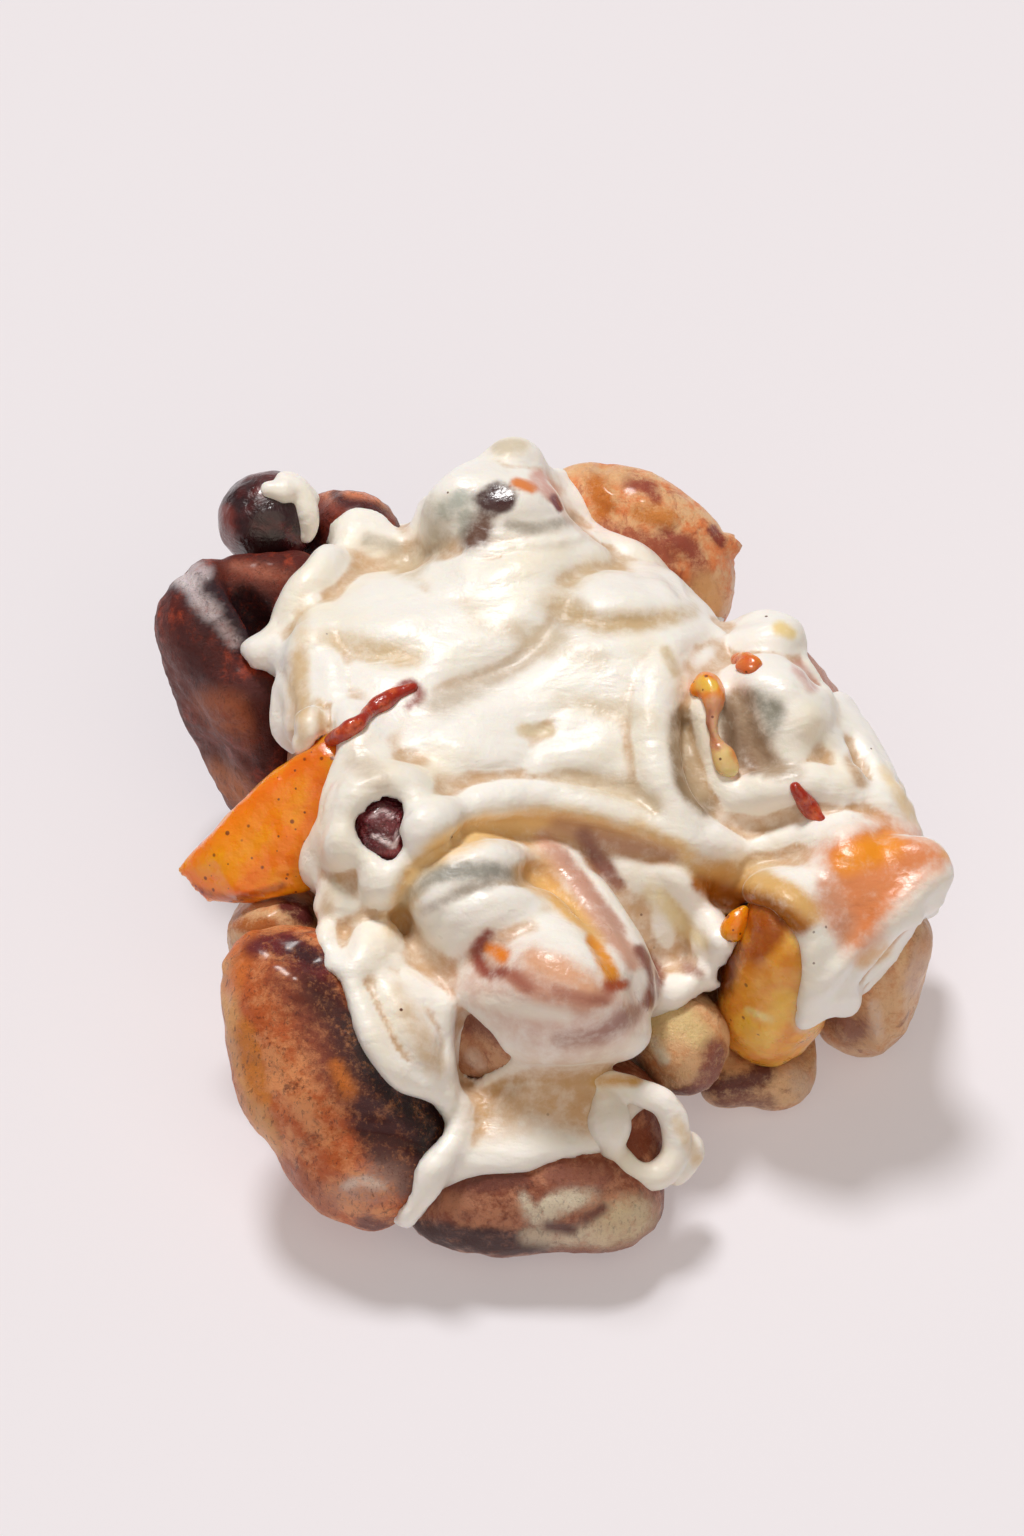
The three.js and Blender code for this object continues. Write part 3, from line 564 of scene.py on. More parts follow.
icing_forms = {
    "crown_mound": [[430, 508, 1.5, 5], [480, 482, 1.8, 6], [545, 500, 1.5, 5]],
    "crown_left": [[432, 500, 1.4, 3], [452, 474, 1.6, 3], [470, 458, 1.0, 2.6]],
    "crown_front": [[440, 552, 0.9, 4], [485, 556, 1.8, 5], [530, 548, 2.2, 5.5], [580, 546, 1.6, 5]],
    "beside_the_crown": [[402, 520, -0.8, 1.4], [412, 542, -1.2, 1.5], [404, 560, -0.9, 1.4]],
    "behind_the_plateau": [[388, 580, -0.8, 2.6], [415, 562, -1.4, 2.8], [450, 545, -1.0, 2.6]],
    "left_lip": [[316, 628, 0.5, 3.9], [355, 630, 0.6, 4.4], [410, 634, 0.5, 4.7]],
    "under_left_lip": [
        [320, 644, -0.5, 2.4], [350, 646, -0.7, 2.8], [385, 655, -0.8, 3.3], [412, 658, -0.6, 3.3],
    ],
    "diagonal_swell": [[540, 585, 0.5, 5.0], [500, 615, 0.6, 5.5], [450, 640, 0.6, 5.0]],
    "diagonal_furrow": [
        [572, 604, -0.8, 3.6], [545, 636, -1.3, 4.3], [505, 665, -1.4, 5], [455, 690, -1.3, 4.8],
        [415, 716, -0.8, 4.1],
    ],
    "pleat": [[560, 598, 0.5, 3.1], [600, 600, 0.7, 3.4], [645, 600, 0.7, 3.4], [692, 612, 0.5, 2.9]],
    "under_pleat": [
        [560, 612, -0.6, 2.7], [600, 624, -0.9, 2.8], [650, 620, -0.8, 2.7], [690, 620, -0.5, 2.4],
    ],
    "back_lip": [
        [585, 540, 0.7, 2.6], [630, 548, 1, 2.9], [662, 566, 1, 2.9], [682, 594, 0.8, 2.6],
    ],
    "inside_back_lip": [[602, 562, -0.5, 3], [640, 574, -0.7, 3.3], [662, 597, -0.6, 3]],
    "shoulder_crease": [
        [545, 600, -0.6, 2.7], [568, 580, -0.8, 3.3], [596, 566, -0.6, 3], [628, 562, -0.4, 2.7],
    ],
    "pit": [[524, 730, -0.8, 1.5], [549, 731, -0.8, 1.5]],
    "small_swells": [
        [440, 740, 0.5, 2.2], [480, 752, 0.6, 2.4], [540, 760, 0.5, 2.4], [600, 745, 0.6, 2.6],
    ],
    "small_furrows": [
        [470, 772, -0.5, 1.8], [520, 765, -0.5, 1.6], [560, 705, -0.4, 1.8], [610, 712, -0.5, 2.0],
    ],
    "above_the_arch": [[560, 776, -0.6, 2.6], [612, 788, -0.9, 2.8], [652, 806, -0.7, 2.4]],
    "arch": [
        [372, 962, 1.0, 2.4], [368, 928, 1.6, 2.8], [377, 890, 2.0, 2.8], [396, 856, 2.2, 2.8],
        [430, 824, 2.2, 2.6], [475, 804, 2.2, 2.3], [540, 796, 2.0, 2.1], [600, 808, 2.0, 2.1],
        [650, 824, 2.0, 2.0], [690, 848, 1.8, 2.0], [712, 872, 1.2, 2.0],
    ],
    "inside_arch": [
        [412, 880, -0.8, 3.0], [440, 850, -1.8, 3.2], [500, 830, -2.2, 3.2],
        [580, 836, -2.0, 3.0], [640, 850, -1.8, 2.6], [676, 862, -1.0, 2.2],
    ],
    "smear_over_berry": [[470, 868, -0.8, 4.0], [508, 870, -0.8, 4.0]],
    "below_berry": [
        [440, 918, -0.4, 1.6], [475, 892, -0.8, 1.7], [515, 884, -0.9, 1.7], [540, 892, -0.6, 1.6],
    ],
    "knob_top": [[450, 955, 0.8, 5.0], [500, 930, 1.2, 5.5], [550, 936, 1.5, 5.5], [598, 968, 1.2, 5.0]],
    "knob": [[480, 985, 1.0, 4.5], [540, 975, 1.6, 6.0], [600, 1005, 1.2, 5.0]],
    "knob_nook": [[486, 944, -0.6, 1.4], [480, 962, -0.8, 1.6], [500, 974, -0.6, 1.4]],
    "beside_the_band": [[590, 945, -0.9, 1.2], [604, 966, -1.2, 1.4], [616, 988, -0.8, 1.2]],
    "pink_ridge": [
        [536, 826, 0.8, 2.4], [560, 862, 1.4, 2.8], [592, 902, 1.5, 2.8], [620, 945, 1.4, 2.6],
        [645, 985, 0.9, 2.4],
    ],
    "between_knob_and_ridge": [[528, 872, -0.8, 2.0], [556, 898, -1.3, 2.0], [584, 926, -1.0, 1.7]],
    "beyond_the_ridge": [
        [590, 850, -1.2, 2.2], [615, 888, -1.6, 2.4], [642, 935, -1.4, 2.2], [660, 975, -1.0, 2.2],
    ],
    "left_fall": [
        [318, 560, 1, 4], [300, 610, 1.8, 4.6], [305, 660, 2, 4.6], [312, 710, 1.6, 4],
        [312, 740, 1, 3],
    ],
    "left_fall_crease": [
        [312, 600, -0.2, 1.4], [306, 645, -0.5, 1.5], [314, 690, -0.5, 1.5], [318, 730, -0.3, 1.4],
    ],
    "left_fall_fold": [[330, 655, 0.5, 1.4], [332, 690, 0.8, 1.5], [345, 715, 0.6, 1.4]],
    "left_tip": [[300, 640, 1.0, 3.0], [262, 650, 1.2, 2.4]],
    "top_left": [[345, 530, 1.6, 3.6], [390, 530, 1.2, 3.6]],
    "behind_top_left": [[350, 560, -0.5, 2.4], [385, 556, -0.9, 2.8]],
    "left_bulge": [[330, 846, 1.4, 3.6], [322, 880, 1.6, 3.8], [332, 912, 1.0, 3.2]],
    "left_bulge_crease": [[350, 868, -0.5, 1.2], [347, 896, -0.6, 1.3]],
    "behind_burst_berry": [[352, 745, -0.5, 3.4], [372, 776, -0.4, 3.6], [392, 790, -0.3, 2.4]],
    "curtain_stem": [[380, 940, 0.8, 2.6], [368, 958, 1.2, 2.8], [350, 974, 0.9, 2.2]],
    "curtain_left": [
        [346, 985, 1.4, 1.8], [366, 1030, 1.8, 2.2], [388, 1066, 1.8, 2.4], [420, 1090, 1.6, 2.4],
        [452, 1110, 1.2, 2.2],
    ],
    "curtain_crease": [
        [362, 968, -0.7, 1.0], [376, 1006, -1.2, 1.1], [396, 1048, -1.2, 1.1], [420, 1078, -0.8, 1.0],
    ],
    "curtain_fold": [
        [382, 970, 1, 2.2], [402, 1006, 1.5, 2.4], [420, 1045, 1.6, 2.6], [436, 1080, 1.2, 2.2],
    ],
    "curtain_right": [
        [398, 962, 1, 1.8], [428, 990, 1.4, 1.8], [450, 1020, 1.8, 1.8], [454, 1068, 1.8, 1.8],
        [456, 1118, 1.2, 2.0],
    ],
    "curtain_hollow": [[436, 1010, -0.7, 1.2], [440, 1050, -0.8, 1.3]],
    "branch": [
        [458, 1125, 1.6, 2.4], [440, 1160, 1.8, 2.6], [424, 1190, 1.6, 2.2], [398, 1224, 1.4, 2.0],
    ],
    "pool": [[470, 1150, 0.4, 4], [530, 1110, 0.3, 5], [590, 1090, 0.3, 5]],
    "under_knob": [
        [490, 1094, -1.2, 1.8], [520, 1074, -2.0, 2.2], [560, 1074, -2.2, 2.4],
        [620, 1068, -1.6, 2.2],
    ],
    "flap": [
        [664, 868, 0.8, 2.6], [690, 900, 1.8, 3.6], [712, 940, 2.4, 4.2], [704, 972, 2.0, 4.0],
        [672, 1000, 1.2, 3.4],
    ],
    "flap_body": [[640, 905, -0.4, 2.4], [660, 945, 0.4, 3.5]],
    "flap_crease": [[666, 884, -0.5, 1.2], [684, 912, -0.8, 1.4], [694, 948, -0.6, 1.4]],
    "under_flap": [[738, 884, -2.0, 2.6], [708, 876, -1.2, 1.8]],
    "crater_lip": [
        [676, 650, 0.8, 2.6], [658, 690, 1.8, 3.0], [656, 740, 2.2, 3.2], [668, 792, 2.4, 3.0],
        [694, 832, 2.2, 2.6], [728, 852, 1.6, 2.2],
    ],
    "crater": [
        [684, 710, -2.6, 2.2], [684, 750, -3.6, 2.6], [694, 790, -3.6, 2.6], [712, 806, -2.4, 2.2],
    ],
    "crater_fin": [[704, 690, 1.6, 1.6], [712, 722, 2.0, 1.7], [718, 752, 2.0, 1.8], [726, 780, 1.4, 1.8]],
    "hollow_right": [
        [742, 696, -1.6, 2.4], [744, 735, -2.6, 3.2], [762, 764, -2.2, 2.8], [788, 772, -1.0, 2.2],
    ],
    "right_berry_mound": [[805, 735, 1.6, 4.5], [785, 765, 1.8, 3.6]],
    "right_notch": [[676, 668, -0.9, 1.2], [692, 650, -1.1, 1.3], [712, 640, -0.6, 1.3]],
    "shelf": [
        [735, 792, 1.4, 2.2], [780, 786, 2.4, 2.4], [815, 780, 2.6, 2.4], [860, 792, 2.2, 2.4],
        [905, 808, 1.6, 2.4],
    ],
    "scoop": [[728, 822, -1.4, 2.4], [762, 824, -1.4, 2.6], [800, 808, -0.8, 2.0]],
    "scoop_rim": [[716, 838, 1.0, 1.6], [744, 850, 1.2, 1.6], [782, 842, 1.2, 1.8], [812, 832, 0.9, 1.6]],
    "above_peach": [[835, 812, -1.0, 1.6], [870, 812, -1.0, 1.6], [905, 818, -0.6, 1.4]],
    "peach_brow": [[815, 832, 0.9, 1.8], [855, 824, 1.2, 1.8], [905, 824, 1.1, 1.8], [945, 845, 0.8, 1.6]],
    "right_folds": [[832, 740, 1.2, 1.8], [842, 765, 1.2, 1.8]],
    "right_fold_shadow": [[846, 744, -1.4, 1.6], [856, 768, -1.8, 1.8], [868, 792, -1.0, 1.6]],
    "right_fold_edge": [[866, 742, 1.2, 1.6], [882, 770, 1.4, 1.7], [890, 796, 1.0, 1.6]],
    "right_back_bump": [[783, 628, 1.2, 3.0], [740, 636, 0.8, 3.4]],
    "peach_hem": [
        [956, 866, 1.0, 1.8], [918, 892, 1.8, 1.9], [880, 930, 2.0, 2.0], [846, 968, 1.8, 2.0],
        [826, 1000, 1.4, 2.0],
    ],
    "peach_hem_edge": [[945, 905, 1.2, 1.6], [908, 948, 1.4, 1.7], [870, 988, 1.4, 1.8]],
    "between_hems": [[930, 898, -0.6, 1.2], [894, 940, -0.9, 1.3], [858, 980, -0.7, 1.2]],
    "beside_the_berry": [[418, 870, 0.8, 2.6], [424, 900, 1.2, 3.0], [448, 912, 1.0, 3.0]],
    "berry_fold": [[430, 872, 0.4, 1.0], [455, 856, 0.7, 1.1], [500, 850, 0.7, 1.1], [540, 860, 0.5, 1.1]],
    "knob_fold": [
        [436, 935, 0.5, 1.5], [470, 908, 0.8, 1.6], [510, 899, 0.8, 1.6], [545, 904, 0.7, 1.6],
        [572, 920, 0.4, 1.4],
    ],
    "knob_wrinkle": [
        [452, 950, 0.4, 1.2], [484, 922, 0.6, 1.3], [520, 913, 0.6, 1.3], [556, 926, 0.6, 1.3],
        [584, 950, 0.4, 1.2],
    ],
    "knob_bulge": [[505, 1000, 0.8, 3.5], [560, 1010, 1.2, 4.5], [610, 1020, 1.0, 4.0]],
    "flap_edge": [
        [668, 862, 0.9, 1.4], [698, 894, 1.0, 1.5], [724, 926, 1.0, 1.5], [728, 952, 0.8, 1.5],
        [716, 984, 0.6, 1.5],
    ],
    "flap_fold": [[650, 880, 0.4, 1.2], [664, 910, 0.7, 1.4], [674, 948, 0.6, 1.4], [668, 985, 0.4, 1.3]],
    "crown_knob": [[494, 461, -0.9, 1.1], [512, 470, -1.1, 1.2], [534, 467, -0.9, 1.1]],
    "berry_print": [[478, 500, -0.8, 1.4], [490, 492, -1.0, 1.6], [506, 496, -0.9, 1.5]],
    "glint_ridge": [[508, 512, 0.7, 1.2], [524, 506, 0.9, 1.3], [540, 510, 0.7, 1.2]],
    "furrow_grain": [[440, 672, 0.4, 1.4], [470, 664, 0.6, 1.6], [510, 646, 0.5, 1.5]],
    "below_pleat": [[565, 640, 0.4, 2.4], [610, 640, 0.6, 2.6], [670, 634, 0.5, 2.4]],
    "shoulder": [[600, 580, 0.4, 2.6], [632, 580, 0.5, 2.9], [660, 592, 0.5, 2.6]],
    "crown_wrinkles": [[410, 574, -0.4, 1.6], [440, 600, -0.5, 2.0], [500, 606, -0.4, 2.0]],
    "crown_wrinkles_low": [[430, 622, -0.4, 1.6], [468, 618, -0.5, 1.8], [500, 628, -0.3, 1.6]],
    "berry_roof": [[366, 788, 1.4, 2.0], [385, 780, 2.4, 2.4], [402, 788, 1.8, 2.0]],
    "leg_root": [[384, 900, 1.8, 3.4], [378, 930, 1.8, 3.2]],
    "curtain_shoulder": [[346, 930, -1.2, 2.6], [334, 946, -0.8, 2.2]],
    "left_folds": [[292, 690, 0.5, 1.2], [296, 722, 0.6, 1.3], [304, 748, 0.4, 1.1]],
    "right_berry_fill": [[800, 690, 1.2, 3.6], [815, 712, 1.4, 3.6]],
    "right_berry_top": [[752, 700, -0.5, 3.0], [775, 712, -0.6, 3.4]],
    "peach_notch": [[900, 842, 1.6, 2.4], [918, 846, 2.0, 2.6], [938, 850, 1.2, 2.2]],
    "right_edge_low": [[902, 790, -0.8, 2.2], [916, 815, -1.0, 2.4]],
    "veil_over_peach": [[735, 895, 1.0, 2.4], [775, 902, 1.4, 2.6], [805, 920, 1.2, 2.4]],
    "veil_left": [[760, 880, 0.8, 3.0], [800, 890, 1.0, 3.4]],
}


def whipped(points, size, seed):
    """Soft ridges as a spatula leaves them, from -1 to 1, drawn out from front left to back right."""
    c, s = math.cos(SWEEP), math.sin(SWEEP)
    drawn = points @ np.array([[c, -s, 0], [s, c, 0], [0, 0, 1]])
    drawn[:, 1] += wander(points, size * 2.2, seed + 9) * size * 0.6 * MM
    return 1 - 2.8 * np.abs(wander(drawn, size, seed, (0.35, 1.1, 0.6)))


def icing_thickness(points):
    """Thickness of the icing at each point, negative where it has ended and dives under, and
    how far in from the icing's edge the point is."""
    at = points / MM
    away = at - HEART
    forward = -(away @ AHEAD) / np.linalg.norm(away, axis=1)
    hidden = 1 - ramp(forward, -0.05, 0.1)
    wave = 3 * np.sin(at[:, 0] / 9) + 2 * np.sin(at[:, 1] / 7 + 1)
    above_hem = at[:, 2] - (HEM + wave + HEM_RISE * ramp(-at[:, 0], 12, 24))
    behind = np.where(hidden > 0, above_hem / np.maximum(hidden, 1e-3), FAR)
    from_edge = np.minimum(inside(icing_edge, points), behind)
    for spot in bare_spots.values():
        from_edge = np.minimum(from_edge, np.where(hidden > 0.5, FAR, -inside(spot, points)))
    near = np.clip(from_edge / (BEAD * (1 + hidden)), 0, 1)
    edge = np.sqrt(np.maximum(0, 1 - (1 - near) ** 2))
    high = ramp(at[:, 2] + at[:, 1] * 0.35 - np.maximum(at[:, 0], 0) * 0.25, 30, 46)
    thick = COAT + CROWN_COAT * high * (1 - ramp(at[:, 1], 32, 42))
    for line in icing_forms.values():
        thick += along(line, points) * (1 - hidden)
    thick += whipped(points, 7.5, 4.0) * (0.12 + 0.3 * high) + whipped(points, 3.0, 8.0) * 0.09
    covered = np.maximum(thick, THIN_COAT) * edge
    return np.where(from_edge > 0, covered, np.maximum(from_edge * EDGE_SLOPE, -SUNK)), from_edge


def mound_of(pieces):
    """One closed mound of everything that the icing lies on, and the same with its creases
    bridged, as thick icing bridges them."""
    copies = [placed("mound", piece.data.copy()) for piece in pieces]
    only(copies[0])
    for copy in copies:
        copy.select_set(True)
    bpy.ops.object.join()
    mound = bpy.context.view_layer.objects.active
    grain(mound, BRIDGE_GRAIN)
    bridged = placed("poured_icing", mound.data.copy())
    for step in (1, 1, -1, -1):
        swell(bridged, step * BRIDGE / 2)
        grain(bridged, BRIDGE_GRAIN)
        smooth(bridged, 2)
    grain(bridged, ICING_GRAIN)
    smooth(bridged, 8)
    return mound, bridged


def gap_to(mound, points, normals):
    """How deep the mound lies under each point, in millimetres."""
    places = [tuple(one.co) for one in mound.data.vertices]
    tree = BVHTree.FromPolygons(places, [tuple(one.vertices) for one in mound.data.polygons])
    gaps = np.zeros(len(points))
    for i, (point, normal) in enumerate(zip(points, normals)):
        start = Vector(point + normal * CLEAR * MM)
        place, _, _, distance = tree.ray_cast(start, Vector(-normal), 2 * BRIDGE * MM)
        gaps[i] = 0 if place is None else distance / MM - CLEAR
    return gaps


def pour_icing(mound, bridged):
    """Lays the icing over the bridged mound, brings its edge down to what it lies on, and
    gives it an underside."""
    points, normals = surface(bridged)
    gaps = evened(bridged, np.clip(gap_to(mound, points, normals), 0, BRIDGE), 12)
    out = np.zeros(len(points))
    for _ in range(3):
        thick, from_edge = icing_thickness(points + normals * (out * MM)[:, None])
        out = thick - gaps * (1 - ramp(from_edge, 0, EDGE_FALL))
    raised = evened(bridged, out, 2)
    for _ in range(2):
        swell(bridged, raised / 2)
        smooth(bridged, 2)
    points, _ = surface(bridged)
    gone = (thick <= -SUNK * 0.98) | (points[:, 2] < LOWEST * MM)
    in_edit(bridged, lambda: bpy.ops.mesh.delete(type="VERT"), gone)
    finish_with(bridged, "SOLIDIFY", thickness=SKIN * MM, offset=-1)
    grain(bridged, ICING_GRAIN)
    smooth(bridged, 2)
    bpy.data.objects.remove(mound)
    return bridged


# Pieces.
settled = []


def settle(piece, node, finish):
    """Gives a finished piece its material and puts it in the place of its solid."""
    piece.data.materials.clear()
    piece.data.materials.append(finish)
    only(piece)
    bpy.ops.object.shade_smooth()
    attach(piece, BODY)
    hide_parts(node)
    settled.append(piece)


def dough(node, name, finish, seed, stains_and_light=(), fleck=0.6, wet=(), lumps=0.5, shape=()):
    """A chunk of dough: its solid with a fine crust, painted where the eater sees it. Gives
    back its form without the crust's lumps, for the icing to lie on."""
    piece = cast_from(node, name, DOUGH_GRAIN, 8, DOUGH_FULLER)
    points, normals = surface(piece)
    heights = np.zeros(len(points))
    for line in shape:
        heights += along(line, points)
    swell(piece, heights * turned_to_eater(points, normals))
    bare = piece.data.copy()
    crumple(piece, lumps * 0.6, 5.5, seed)
    crumple(piece, lumps * 0.35, 2.6, seed + 7, blistered=True)
    crumple(piece, lumps * 0.12, 1.3, seed + 3)
    spread(piece, "fleck", [], fleck)
    spread(piece, "wet", wet)
    painted(piece, stains_and_light)
    settle(piece, node, finishes[finish])
    return bpy.data.objects.new(name + "_form", bare)


def fruit(node, name, finish, seed, lumps=0.3, stains_and_light=(), rounds=5, fuller=0.25, faceted=False):
    """A berry or peach slice: its solid with a fine, wrinkled skin, painted where the eater
    sees it. Gives back its form without the wrinkles."""
    piece = cast_from(node, name, FRUIT_GRAIN, rounds, fuller, faceted)
    bare = piece.data.copy()
    crumple(piece, lumps, 3.2, seed)
    crumple(piece, lumps * 0.3, 1.2, seed + 5)
    painted(piece, stains_and_light)
    settle(piece, node, finish)
    return bpy.data.objects.new(name + "_form", bare)


# Each has a pale, a golden and a dark colour, how browned it is and how streaked with filling.
finishes = {
    "crust": dough_finish(
        "browned_crust", (170, 62, 28), (94, 22, 10), (36, 6, 8), 0.8, 0.9, rough=0.46, coat=0.1
    ),
    "orange_crust": dough_finish(
        "orange_crust", (255, 204, 152), (248, 146, 84), (190, 74, 38), 0.5, 0.35, rough=0.38
    ),
    "filled_dough": dough_finish(
        "cinnamon_filled_dough", (240, 160, 104), (206, 100, 42), (90, 26, 14), 0.6, 1.0
    ),
    "front_dough": dough_finish(
        "front_dough", (196, 132, 98), (144, 72, 44), (78, 28, 20), 0.6, 0.7, rough=0.38
    ),
    "pale_dough": dough_finish(
        "pale_dough", (240, 196, 148), (222, 152, 100), (156, 80, 48), 0.35, 0.3, rough=0.38
    ),
    "inner_dough": dough_finish(
        "inner_dough", (216, 166, 130), (190, 124, 92), (130, 66, 50), 0.5, 0.5, rough=0.42
    ),
}
peach = peach_finish("ripe_peach", (255, 134, 0), (255, 160, 4), (100, 30, 10), specks=0.55)
amber = peach_finish("amber_peach", (228, 146, 30), (246, 182, 70), (120, 66, 24), specks=0.06)
berry_skin = berry_finish("berry_skin", (48, 20, 26), (110, 40, 40))
burst_skin = berry_finish("burst_berry_skin", (92, 24, 34), (150, 56, 58), wrinkles=1.2)
red_peel = peel_finish()
icing = icing_finish()

# Stains on the chunks, with painted shade and painted highlights among them.
PURPLE_BROWN = (84, 32, 30)
# Golden crust, painted lighter where it faces the light.
GOLDEN_LIT_EDGE = (238, 176, 112)
JAM = (112, 24, 30)
CREAM = (236, 222, 198)
PINK = (204, 150, 132)

slab_stains_and_painted_light = [
    ((128, 56, 40), [[170, 640, 0.6, 2.5], [190, 700, 0.6, 3], [212, 745, 0.5, 3]]),
    (PURPLE_BROWN, [[190, 640, 0.8, 5], [215, 684, 0.8, 5], [250, 690, 0.6, 5]]),
    ((184, 104, 66), [[206, 700, 0.5, 3.0], [232, 716, 0.7, 4.4], [252, 738, 0.5, 3.4]]),
    ((88, 36, 32), [[262, 690, 0.9, 3], [270, 730, 0.9, 3.4], [262, 760, 0.8, 3]]),
    ((112, 54, 42), [[206, 752, 0.8, 2.2], [240, 768, 0.9, 2.8]]),
    ((200, 124, 82), [[216, 776, 0.7, 3.6], [242, 796, 0.8, 3.6]]),
    ((120, 54, 40), [[226, 572, 0.9, 3], [256, 576, 1, 3.6], [292, 580, 0.9, 3]]),
    # A lighter line along the fold's ridge: painted highlight.
    ((190, 112, 88), [[236, 566, 0.6, 1.4], [262, 572, 0.7, 1.5], [282, 576, 0.5, 1.3]]),
    # Painted shade in the fold's hollow.
    ((50, 16, 20), [[246, 598, 1, 3], [262, 614, 1, 3.4], [258, 632, 0.9, 2.8]]),
    ((52, 28, 38), [
        [160, 580, 1, 3], [184, 572, 1, 4.4], [206, 596, 1, 4.6], [226, 620, 1, 4], [240, 644, 0.9, 3],
    ]),
    # Painted sheen: the light's reflection along the slab's upper edge.
    ((236, 224, 228), [[164, 580, 0.8, 1.6], [178, 574, 1, 2.2], [192, 586, 1, 1.9]]),
    ((214, 198, 202), [[186, 560, 0.8, 1.6], [204, 572, 0.8, 1.8]]),
    ((224, 210, 214), [[198, 600, 0.9, 1.8], [212, 612, 0.9, 2.0]]),
    ((206, 188, 192), [[222, 626, 0.8, 1.4], [234, 642, 0.8, 1.4]]),
]
back_left_stains = [
    ((150, 68, 52), [[296, 482, 0.9, 4], [340, 500, 0.9, 4], [390, 510, 0.9, 3]]),
    ((206, 128, 102), [[300, 474, 0.9, 2.6], [322, 482, 0.9, 2.4]]),
    ((255, 160, 116), [[334, 486, 1, 3.0], [358, 482, 1, 3.4], [384, 492, 1, 3.0], [398, 504, 1, 2.4]]),
    ((84, 30, 30), [[336, 494, 0.9, 1.4], [346, 503, 0.9, 1.3], [370, 508, 1, 1.5], [392, 512, 0.8, 1.1]]),
    ((232, 160, 104), [[390, 500, 0.8, 2], [405, 512, 0.9, 1.8]]),
    ((74, 26, 26), [[262, 568, 0.9, 3], [300, 560, 0.8, 2.6], [318, 530, 0.6, 2]]),
]
ear_stains_and_painted_shade = [
    ((246, 196, 144), [[575, 470, 0.5, 2.4], [625, 476, 0.6, 2.4]]),
    ((168, 78, 58), [[630, 484, 0.6, 1.8], [650, 488, 0.8, 1.8], [656, 500, 0.6, 1.4]]),
    ((220, 128, 44), [[596, 486, 1, 2.4], [606, 504, 0.9, 2.4], [600, 516, 0.7, 1.8]]),
    ((226, 142, 62), [[640, 512, 0.8, 2.2], [668, 518, 0.9, 2.2]]),
    ((184, 96, 66), [[604, 528, 0.7, 2], [640, 540, 0.8, 2.4], [668, 560, 0.8, 2.4]]),
    ((172, 84, 62), [[664, 536, 0.7, 2.0], [690, 548, 0.8, 2.4], [702, 572, 0.6, 2.2]]),
    ((150, 64, 48), [[712, 530, 0.9, 1.2], [722, 542, 0.8, 1.4]]),
    # Painted shade where the ear meets the icing's edge.
    ((178, 92, 60), [[668, 578, 0.9, 2.2], [686, 600, 0.7, 2]]),
    ((244, 186, 124), [[704, 586, 0.9, 3], [714, 604, 0.9, 3]]),
]
lower_left_stains_and_painted_light = [
    # The left edge: golden crust with painted light on it.
    (GOLDEN_LIT_EDGE, [
        [224, 962, 0.9, 2.6], [228, 1010, 0.8, 2.6], [238, 1052, 0.8, 2.6], [256, 1104, 0.7, 2.6],
        [274, 1150, 0.6, 2.6],
    ]),
    ((226, 120, 46), [[232, 950, 0.9, 2.6], [250, 936, 0.9, 2.4], [232, 985, 0.7, 2.4]]),
    ((222, 132, 36), [[244, 1030, 0.9, 2.2], [252, 1066, 1, 2.6], [262, 1096, 0.9, 2]]),
    ((184, 96, 52), [[290, 1172, 0.8, 3], [326, 1204, 0.8, 3]]),
    ((150, 70, 44), 0.8, 3.0, [
        [262, 972], [300, 970], [330, 990], [350, 1040], [368, 1080], [352, 1110], [318, 1080], [290, 1020],
    ]),
    ((76, 24, 20), 1.0, 2.6, [
        [300, 962], [334, 978], [356, 1030], [380, 1074], [410, 1090], [446, 1122], [440, 1150],
        [414, 1196], [384, 1180], [360, 1140], [344, 1090], [326, 1030], [304, 990],
    ]),
    # Near-black beside the icing curtain: the dark filling, deepened as painted shadow under the curtain's
    # edge.
    ((34, 8, 12), [
        [350, 1020, 0.8, 2.2], [376, 1072, 1, 3], [402, 1096, 1, 4], [430, 1122, 1, 4],
        [426, 1148, 0.8, 3],
    ]),
    (JAM, [[252, 948, 0.8, 2.2], [278, 944, 1, 3.2], [306, 956, 1, 3.2], [326, 968, 1, 2.6]]),
    ((64, 20, 28), [[292, 948, 0.8, 1.8], [316, 960, 0.9, 2]]),
    ((214, 118, 36), [[336, 1066, 0.9, 1.6], [348, 1092, 0.9, 2]]),
    ((120, 60, 46), [[366, 1226, 0.8, 2.6], [404, 1236, 0.9, 3]]),
    ((214, 170, 152), 0.55, 3.2, [
        [330, 1192], [346, 1174], [372, 1168], [396, 1172], [402, 1186], [384, 1204], [356, 1210],
        [338, 1204],
    ]),
    ((232, 206, 192), [[346, 1186, 0.7, 1.0], [364, 1180, 0.8, 1.2], [382, 1188, 0.6, 1.0]]),
]
front_stains = [
    ((118, 58, 42), [[428, 1198, 0.8, 2.2], [470, 1184, 0.9, 2.4], [520, 1180, 0.8, 2]]),
    ((190, 128, 96), [[446, 1200, 0.7, 2.2], [466, 1204, 0.7, 2.4]]),
    ((168, 104, 84), [[548, 1172, 0.6, 3], [600, 1178, 0.6, 3]]),
    ((66, 28, 24), [[414, 1230, 1, 2.6], [470, 1240, 1, 3], [540, 1244, 0.9, 2.6]]),
    (CREAM, [[524, 1200, 0.7, 1.8], [536, 1216, 0.8, 2.4], [560, 1204, 0.9, 2.8], [590, 1196, 0.5, 1.8]]),
    ((232, 212, 184), [[528, 1236, 0.6, 2], [566, 1238, 0.7, 2.2], [600, 1232, 0.9, 2.8]]),
    ((228, 206, 168), 0.75, 2.6, [
        [604, 1206], [630, 1196], [652, 1204], [655, 1222], [640, 1238], [606, 1246], [590, 1236],
    ]),
    ((118, 66, 54), [[584, 1220, 0.7, 1.4], [602, 1208, 0.8, 1.5]]),
    ((96, 48, 40), [[548, 1226, 0.7, 1.2], [572, 1230, 0.8, 1.3]]),
]
